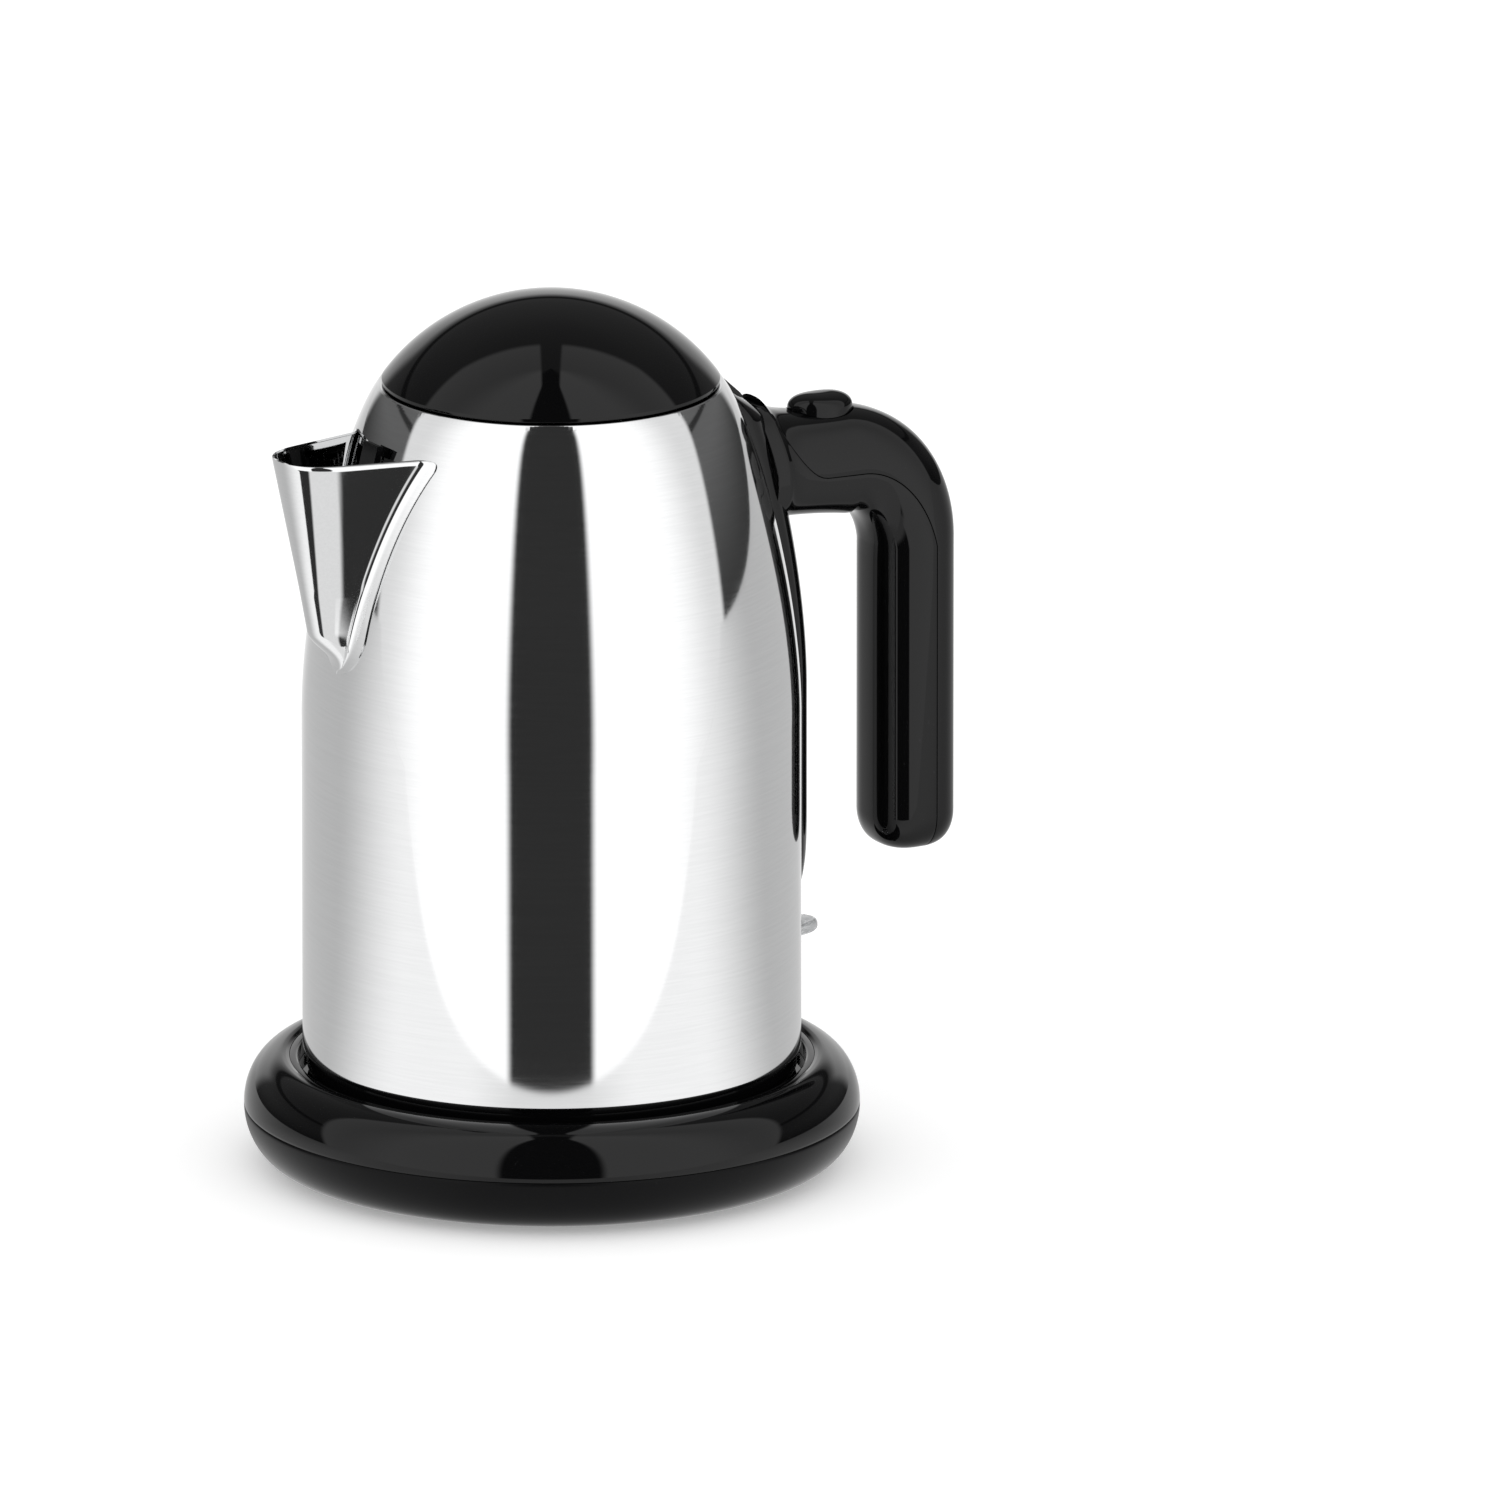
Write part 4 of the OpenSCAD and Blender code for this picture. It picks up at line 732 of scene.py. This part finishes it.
# ------------------------------------------------------------------ handle
def spine_line(z):
    """Section of the spine at a height: its outer curve, then its back against the steel."""
    r = steel_r(z) + 0.1
    q = clamp((z - SPINE_LOW + 0.5) / 22.0)
    w = SPINE_HALF * swell(q)
    s = clamp((z - SPINE_LOW + 0.6) / 34.0)
    t = SPINE_DEPTH * math.sqrt(max(0.0, 1 - (1 - s) ** 2.4))
    if z > SPINE_FADE:
        f = (z - SPINE_FADE) / (SPINE_TOP - SPINE_FADE)
        t = mix(t, SPINE_TIP, f ** 1.3)
        w *= math.sqrt(1 - 0.30 * f ** 3)
    k, n = 2.6, 22  # squareness of the outer curve, and its steps to each side
    outer = []
    for i in range(-n, n + 1):
        a = math.pi / 2 * i / n
        y = w * math.sin(a)
        bulge = t * max(0.0, 1 - abs(math.sin(a)) ** k) ** (1 / k)
        outer.append((math.sqrt(r * r - y * y) + max(0.35, bulge), y, z))
    inner = [(math.sqrt(r * r - (w * i / 12) ** 2), w * i / 12, z) for i in range(12, -13, -1)]
    return outer + inner


spine_heights = [SPINE_LOW + 34 * (i / 26) ** 1.8 for i in range(26)]
spine_heights += [mix(SPINE_LOW + 34, 214, i / 30) for i in range(30)]
spine_heights += [mix(214, SPINE_TOP, i / 14) for i in range(15)]
spine = loft("handle_spine", [spine_line(z) for z in spine_heights])
slot_round = [(hx + SLOT_R * math.cos(a), hz + SLOT_R * math.sin(a))
              for a in (math.radians(-40 - 14 * i) for i in range(11))]
hinge_slot = [(hx + 14.5, hz + 17)] + slot_round + [(hx - 9, hz + 3), (hx - 9, hz + 17)]
cut(spine, prism("hinge_slot", hinge_slot, -5.3, 5.3, "y"))
bevel(spine, 0.5, 3, 45)
settle(spine, "kettle", GLOSS, ["handle_grip"], 40)


def arm_half(x):
    return ARM_HALF + 1.6 * max(0.0, 1 - (x - BODY_R) / 22.0) ** 2


def arm_seam(x, half):
    return mix(ARM_SEAM, min(half, 16.4) * 0.96, (1 - clamp((x - BODY_R + 1) / 14.0)) ** 2.2)


def handle_path():
    """Path of the handle as (x, z, direction, half depth, half width, seam offset, scale, rise and lean of
    the top, sag of the underside)."""
    path = []
    for x in [68 + 0.75 * i for i in range(16)] + [80.5 + 1.65 * i for i in range(11)]:
        h, flare, top = arm_half(x), clamp((80.0 - x) / 7.0), clamp((84.0 - x) / 11.0)
        sag = mix(-1.2, ARM_SAG, clamp((x - 75.0) / 22.0))
        path.append((x, ARM_Z, 0.0, h, ARM_WIDE + 1.2 * drop(flare), arm_seam(x, h), 1,
                     5.0 * drop(top), 16.0 * top, sag))
    for i in range(1, 29):
        t, share = math.pi / 2 * i / 28, i / 28
        across, down = math.cos(t), math.sin(t)
        path.append((BEND_X + BEND_A * down, BEND_Z + BEND_B * across,
                     -math.degrees(math.atan2(BEND_B * down, BEND_A * across)),
                     mix(ARM_HALF, GRIP_HALF, share), ARM_WIDE, mix(ARM_SEAM, GRIP_SEAM, share ** 2), 1,
                     0, 0, mix(ARM_SAG, 0.0, share)))
    low, close = GRIP_END + END_ROUND, math.radians(85)
    for i in range(1, 21):
        path.append((GRIP_X, mix(BEND_Z, low, i / 20), -90, GRIP_HALF, ARM_WIDE, GRIP_SEAM, 1, 0, 0, 0))
    for i in range(1, 15):
        t = math.radians(85 * i / 14)
        path.append((GRIP_X, low - END_ROUND * math.sin(t) / math.sin(close), -90, GRIP_HALF, ARM_WIDE,
                     GRIP_SEAM, math.cos(t) ** 0.55, 0, 0, 0))
    return path


def section(p, a, b, n=40):
    """Part of the handle's outline at one place of its path, between two angles in degrees."""
    x, z, turn, half, wide, _, scale, rise, lean, sag = p
    turn, lean = math.radians(turn), math.sin(math.radians(lean))
    out = []
    for i in range(n + 1):
        t = math.radians(mix(a, b, i / n))
        u = wide * scale * math.copysign(abs(math.cos(t)) ** 0.8, math.cos(t))
        v = half * scale * math.copysign(abs(math.sin(t)) ** 0.8, math.sin(t))
        top = max(0.0, v)
        v += sag * min(0.0, v) / half
        out.append((x - v * math.sin(turn) - top * lean, u,
                    z + v * math.cos(turn) + rise * (top / half) ** 2))
    return out


def seam_turn(p, gap):
    """Angle, in degrees, at which the seam meets the outline, a gap above or below it."""
    s = (p[5] * p[6] + gap) / (p[3] * p[6])
    return math.degrees(math.asin(math.copysign(min(0.97, abs(s)) ** 1.25, s)))


handle = handle_path()
SEAM_GAP = 0.12
grip = loft("handle_grip_shell", [section(p, 180 - seam_turn(p, -SEAM_GAP), 360 + seam_turn(p, -SEAM_GAP))
                                  for p in handle])
bevel(grip, 0.35, 3, 50)
settle(grip, "kettle", GLOSS, sharp=40)
cover = loft("handle_cover_shell", [section(p, seam_turn(p, SEAM_GAP), 180 - seam_turn(p, SEAM_GAP))
                                    for p in handle if p[0] > BODY_R - 0.6])


def oval(inset, z, n=64):
    """Outline of the button, or of the hole for it, drawn in by an inset."""
    out = []
    for i in range(n):
        a = 2 * math.pi * i / n
        c, d = math.cos(a), math.sin(a)
        out.append((BUTTON_X + (10.0 - inset) * math.copysign(abs(c) ** 0.92, c),
                    (7.5 - inset) * math.copysign(abs(d) ** 0.92, d), z))
    return out


cut(cover, loft("button_hole", [oval(-0.35, z) for z in (206, 226)]))
bevel(cover, 0.35, 3, 50)
settle(cover, "kettle", GLOSS, ["handle_cover"], 40)

BUTTON_WALL = 215.2
button_rings = [(0.0, 210.2), (0.0, 213.0)]
button_rings += [(7.1 * (1 - math.cos(a)) ** 1.15,
                  BUTTON_WALL + (BUTTON_TOP - BUTTON_WALL) * math.sin(a) ** 0.9)
                 for a in (math.radians(90 * i / 22) for i in range(23))]
button = loft("button_cap", [oval(i, z) for i, z in button_rings])
settle(button, "button", GLOSS, ["lid_button"], 40)


# ------------------------------------------------------------------ on and off lever
def lever_mesh():
    reach, half = 28.0, 6.5
    tip = [(reach - half + half * math.cos(a), half * math.sin(a))
           for a in (math.radians(-90 + 9 * i) for i in range(21))]
    plate = prism("lever_plate", [(-4.5, -half), *tip, (-4.5, half)], -1.5, 1.5)
    bevel(plate, 1.15, 5, 50)
    off_turn = Matrix.Rotation(math.radians(-6), 4, "Y")
    plate.data.transform(Matrix.Translation(Vector((LEVER_X, 0, LEVER_Z)) * MM) @ off_turn)
    return plate


lever = lever_mesh()
settle(lever, "lever", CLEAR, ["switch_lever"], 50)


# ------------------------------------------------------------------ cord bush at the rear of the base
def bush():
    x0, z0, r = 89.26, 11.4, 5.3
    line = rounded([(-8, 3.5), (2.0, 3.5), (2.3, 3.9), (2.3, 6.5), (1.3, 6.7), (1.1, r), (-8, r)],
                   (0.2, 0.3, 0.4, 0.7, 0.3, 0.2, 0.3), 4, True)
    rings = []
    for i in range(72):
        a = 2 * math.pi * i / 72
        rings.append([(x0 + x, q * math.cos(a), z0 + q * math.sin(a)) for x, q in line])
    obj = loft("cord_bush", rings + [rings[0]], caps=False)
    tidy(obj)
    return obj


settle(bush(), "base", RUBBER, ["cord_gland"], 40)


# ------------------------------------------------------------------ screws and wire screen
def screws_tree():
    """Sets a screw at each point, each turned by its own amount."""
    t, gi, go = tree_start("screws at points", Screw=("Object", None), Seed=("Int", 4),
                           Finish=("Material", None))
    info = add(t, "ObjectInfo", Object=gi.outputs["Screw"])
    turn = t.nodes.new("FunctionNodeRandomValue")
    turn.data_type = "FLOAT"
    floats = [s for s in turn.inputs if s.type == "VALUE"]
    floats[0].default_value, floats[1].default_value = 0.0, 1.5
    t.links.new(gi.outputs["Seed"], turn.inputs["Seed"])
    angle = t.nodes.new("ShaderNodeCombineXYZ")
    t.links.new([s for s in turn.outputs if s.type == "VALUE"][0], angle.inputs["Z"])
    place = add(t, "InstanceOnPoints", Points=gi.outputs["Geometry"], Instance=info.outputs["Geometry"],
                Rotation=angle.outputs[0])
    return tree_end(t, gi, go, place.outputs[0])


def screw_shape(length, head_r=2.8, head_h=1.2, r=1.6):
    """Pan head screw with a cross recess, its head at z = 0 and its shank going up."""
    line = rounded([(0, 0), (head_r * 0.8, 0), (head_r, head_h * 0.6), (head_r, head_h), (r, head_h)],
                   (0, 0.7, 0.4, 0.1, 0), 4)
    z = head_h
    while z < head_h + length - 1.2:
        line += [(r, z + 0.25), (r - 0.3, z + 0.5), (r, z + 0.75)]
        z += 0.8
    line += [(r, head_h + length - 0.4), (r * 0.6, head_h + length), (0, head_h + length)]
    obj = turned("screw_shape", line, False, ZINC, 24)
    arm, wide = head_r * 0.62, 0.42
    cross = [(arm, wide), (wide, wide), (wide, arm), (-wide, arm), (-wide, wide), (-arm, wide), (-arm, -wide),
             (-wide, -wide), (-wide, -arm), (wide, -arm), (wide, -wide), (arm, -wide)]
    return cut(obj, prism("cross", cross, -1, head_h * 0.62))


SCREWS = screws_tree()


def screws(name, node, body, points, length):
    shape = screw_shape(length)
    obj = mesh_object(name, points, [])
    set_tree(obj, SCREWS, Screw=shape, Seed=len(name), Finish=ZINC)
    plain_mesh(obj)
    bpy.data.objects.remove(shape)
    settle(obj, body, ZINC, [node], 35)


def ring_of(radius, angles, z):
    return [(radius * math.cos(math.radians(a)), radius * math.sin(math.radians(a)), z) for a in angles]


screws("base_cover_screws", "base_screws", "base", ring_of(BODY_R - 11, (45, 135, 225, 315), 1.2), 10)
screws("skirt_screws", "bottom_screws", "kettle", ring_of(BODY_R - 17, (60, 180, 300), BOTTOM_Z + 0.2), 13)
screws("liner_screws", "lid_screws", "lid", ring_of(25, (60, 180, 300), DOME_Z - LINER_H - 1.25), 11)


def screen_tree():
    """Woven screen: crossing wires on a trapezoid, drawn across X and up Y."""
    t, gi, go = tree_start("wire screen", Across=("Int", 15), Up=("Int", 27), Narrow=("Float", 0.6),
                           Length=("Float", 0.052), Width=("Float", 0.028), Wire=("Float", 0.00025),
                           Finish=("Material", None))
    grid = add(t, "MeshGrid", Size_X=gi.outputs["Width"], Size_Y=gi.outputs["Length"],
               Vertices_X=gi.outputs["Across"], Vertices_Y=gi.outputs["Up"])
    place = t.nodes.new("GeometryNodeInputPosition")
    sep = t.nodes.new("ShaderNodeSeparateXYZ")
    t.links.new(place.outputs[0], sep.inputs[0])
    narrow = gi.outputs["Narrow"]
    share = plus(t, math_node(t, "DIVIDE", sep.outputs[1], gi.outputs["Length"]), 0.5)
    scale = plus(t, narrow, times(t, share, minus(t, 1.0, narrow)))
    com = t.nodes.new("ShaderNodeCombineXYZ")
    t.links.new(times(t, sep.outputs[0], scale), com.inputs[0])
    t.links.new(sep.outputs[1], com.inputs[1])
    moved = add(t, "SetPosition", Geometry=grid.outputs[0], Position=com.outputs[0])
    lines = add(t, "MeshToCurve", Mesh=moved.outputs[0])
    ring = add(t, "CurvePrimitiveCircle", Resolution=6, Radius=gi.outputs["Wire"])
    wires = add(t, "CurveToMesh", Curve=lines.outputs[0], Profile_Curve=ring.outputs[0])
    return tree_end(t, gi, go, wires.outputs[0])


FILTER_LOW, FILTER_HIGH, FILTER_X0, FILTER_X1 = 164.5, 221.0, 66.874, 52.68
FILTER_TILT = math.atan2(FILTER_X0 - FILTER_X1, FILTER_HIGH - FILTER_LOW)
FILTER_LEN = (FILTER_HIGH - FILTER_LOW) / math.cos(FILTER_TILT)
screen = mesh_object("filter_screen", [(0, 0, 0)], [])
set_tree(screen, screen_tree(), Across=17, Up=31, Narrow=0.5, Length=(FILTER_LEN - 5.6) * MM, Width=28.4 * MM,
         Wire=0.2 * MM, Finish=DARK_WIRE)
plain_mesh(screen)
lay = Matrix(((0, 0, 1, 0), (1, 0, 0, 0), (0, 1, 0, 0), (0, 0, 0, 1)))  # stands the flat screen up, across Y
screen.data.transform(Matrix.Translation(Vector((-FILTER_X0, 0, FILTER_LOW)) * MM)
                      @ Matrix.Rotation(FILTER_TILT, 4, "Y")
                      @ lay @ Matrix.Translation(Vector((0, FILTER_LEN / 2, 1.0)) * MM))
settle(screen, "filter", DARK_WIRE, ["filter_mesh"], 60)


# ------------------------------------------------------------------ finishes of the nodes that stay
FINISH_OF_SLOT = {
    "black_gloss": GLOSS, "black_matte": SATIN, "rubber": RUBBER, "zinc_steel": ZINC, "brass": BRASS,
    "cream_plastic": CREAM, "polished_steel": POLISHED, "brushed_steel": BRUSHED, "aluminium": ALLOY,
    "clear_plastic": CLEAR,
}
FINISH_OF_NODE = {"pilot_lamp": LAMP, "lid_seal": SEAL}
for part in frame["record"]["subparts"]:
    node = frame["nodes"][part["node"]]
    finish = FINISH_OF_NODE.get(part["node"], FINISH_OF_SLOT[part["material_slot"]])
    if not node.material_slots:
        node.data.materials.append(finish)
    for s in node.material_slots:
        s.material = finish


# ------------------------------------------------------------------ floor, light and camera
VIEW_TURN, VIEW_RISE = math.radians(30), math.radians(15.2)
TO_CAMERA = Vector((-math.sin(VIEW_TURN), -math.cos(VIEW_TURN), 0))
TO_RIGHT = Vector((math.cos(VIEW_TURN), -math.sin(VIEW_TURN), 0))
TABLE_SIZE, TABLE_EDGE, EDGE_BLUR = 8000, 215.0, 4
WHITE = (1, 1, 1, 1)


def front_and_side(t, way):
    """Angle of a direction or place off the camera's side of the object, in degrees, and its two parts."""
    parts = []
    for axis in (TO_RIGHT, TO_CAMERA):
        n = t.nodes.new("ShaderNodeVectorMath")
        n.operation = "DOT_PRODUCT"
        t.links.new(way, n.inputs[0])
        n.inputs[1].default_value = axis
        parts.append(n.outputs["Value"])
    turn = math_node(t, "ABSOLUTE", times(t, math_node(t, "ARCTAN2", *parts), 180 / math.pi))
    return turn, parts[1], math_node(t, "ABSOLUTE", parts[0])


def table():
    """White table. It takes the object's shadow, and polished surfaces see it as far as its front edge."""
    far = TABLE_SIZE
    corners = [(-far, -far, 0), (far, -far, 0), (far, far, 0), (-far, far, 0)]
    obj = mesh_object("floor", corners, [(0, 1, 2, 3)])
    m, t, p = new_finish("pale floor")
    p.inputs["Roughness"].default_value = 0.9
    p.inputs["Specular IOR Level"].default_value = 0.0
    place = t.nodes.new("ShaderNodeTexCoord").outputs["Object"]
    t.links.new(blend_colour(t, noise(t, place, 3.0, 2.0), (0.86, 0.86, 0.86, 1), (0.88, 0.88, 0.88, 1)),
                p.inputs["Base Color"])
    p.inputs["Emission Color"].default_value = WHITE
    p.inputs["Emission Strength"].default_value = 0.3
    # brightness in reflections, by the angle off the camera's side
    turn, forward, _ = front_and_side(t, place)
    level = times(t, ramp(t, turn, 10.0, 35.0, 1.13, 1.4), ramp(t, turn, 62.0, 110.0, 1.0, 0.5))
    level = plus(t, level, ramp(t, turn, 145.0, 180.0, 0.0, 0.35))
    glow, clear = t.nodes.new("ShaderNodeEmission"), t.nodes.new("ShaderNodeBsdfTransparent")
    t.links.new(level, glow.inputs["Strength"])
    edge = ramp(t, forward, (TABLE_EDGE - EDGE_BLUR) * MM, (TABLE_EDGE + EDGE_BLUR) * MM)
    seen = mix_shader(t, edge, glow.outputs[0], clear.outputs[0])
    glossy = t.nodes.new("ShaderNodeLightPath").outputs["Is Glossy Ray"]
    t.links.new(mix_shader(t, glossy, p.outputs[0], seen), t.nodes["Material Output"].inputs["Surface"])
    obj.data.materials.append(m)


table()


def white_background(t):
    n = t.nodes.new("ShaderNodeBackground")
    n.inputs["Color"].default_value = WHITE
    return n


def studio():
    """Even white for soft light and behind the object. Reflections see a room of their own: two tall white
    panels with a dark gap, a backdrop low down and behind, and a dim ceiling. Angles are in degrees."""
    w = bpy.data.worlds.new("studio")
    scene.world = w
    w.use_nodes = True
    t = w.node_tree
    t.nodes.clear()
    out = t.nodes.new("ShaderNodeOutputWorld")
    way = t.nodes.new("ShaderNodeTexCoord").outputs["Generated"]
    xyz = t.nodes.new("ShaderNodeSeparateXYZ")
    t.links.new(way, xyz.inputs[0])
    up = xyz.outputs["Z"]
    off, forward, side = front_and_side(t, way)
    rise = times(t, math_node(t, "ARCSINE", up), 180 / math.pi)
    # two white panels, one on each side of the camera, that lean together over the top
    far_edge = ramp(t, up, -0.26, 0.77, 0.05, -0.3, False)
    panel = times(t, ramp(t, off, 17.5, 21.5), ramp(t, minus(t, forward, far_edge), -0.03, 0.03))
    panel = times(t, panel, ramp(t, rise, -31.0, -27.0))
    panel = times(t, panel, ramp(t, side, 0.06, 0.085))
    panel_level = ramp(t, off, 58.0, 90.0, 1.65, 1.1)
    # white backdrop: low at the sides, higher behind, and a patch low in front
    low = ramp(t, rise, -14.5, -6.5, 1.0, 0.0)
    behind = times(t, ramp(t, off, 146.0, 156.0), ramp(t, rise, 13.0, 21.0, 1.0, 0.0))
    pale = math_node(t, "MAXIMUM", times(t, low, ramp(t, off, 70.0, 86.0)), behind)
    pale = times(t, pale, ramp(t, rise, -40.0, -34.0, 0.2, 1.0))
    front = times(t, ramp(t, rise, -29.0, -23.0, 1.0, 0.0), ramp(t, off, 26.0, 34.0, 1.0, 0.0))
    pale = math_node(t, "MAXIMUM", pale, front)
    backdrop = plus(t, ramp(t, off, 60.0, 118.0, 1.1, 0.7), ramp(t, off, 140.0, 178.0, 0.0, 0.35))
    # dim room above, with one dark line round it, darkest in the gap between the panels
    dim = plus(t, ramp(t, rise, -5.0, 14.0, 0.0, 0.13), ramp(t, rise, 24.0, 50.0, 0.0, 0.07))
    line = times(t, ramp(t, rise, 19.5, 21.0), ramp(t, rise, 22.5, 24.0, 1.0, 0.0))
    dim = times(t, dim, minus(t, 1.0, line))
    dark = plus(t, 0.04, times(t, dim, ramp(t, off, 30.0, 70.0)))
    room = plus(t, times(t, pale, backdrop), times(t, minus(t, 1.0, pale), dark))
    level = plus(t, times(t, panel, panel_level), times(t, room, minus(t, 1.0, panel)))
    shine, plain, seen = (white_background(t) for _ in range(3))
    t.links.new(level, shine.inputs["Strength"])
    ray = t.nodes.new("ShaderNodeLightPath").outputs
    light = mix_shader(t, ray["Is Glossy Ray"], plain.outputs[0], shine.outputs[0])
    t.links.new(mix_shader(t, ray["Is Camera Ray"], light, seen.outputs[0]), out.inputs["Surface"])


studio()

AIM, AWAY, FIELD, SENSOR = Vector((50.2, -29.0, 123.5)) * MM, 10.0, 0.438, 36.0
cam = bpy.data.cameras.new("camera")
camera = bpy.data.objects.new("camera", cam)
scene.collection.objects.link(camera)
scene.camera = camera
cam.sensor_width = SENSOR
cam.lens = SENSOR * AWAY / FIELD
cam.clip_end = 100.0
back = TO_CAMERA * math.cos(VIEW_RISE) + Vector((0, 0, math.sin(VIEW_RISE)))
camera.location = AIM + back * AWAY
camera.rotation_euler = (-back).to_track_quat("-Z", "Y").to_euler()
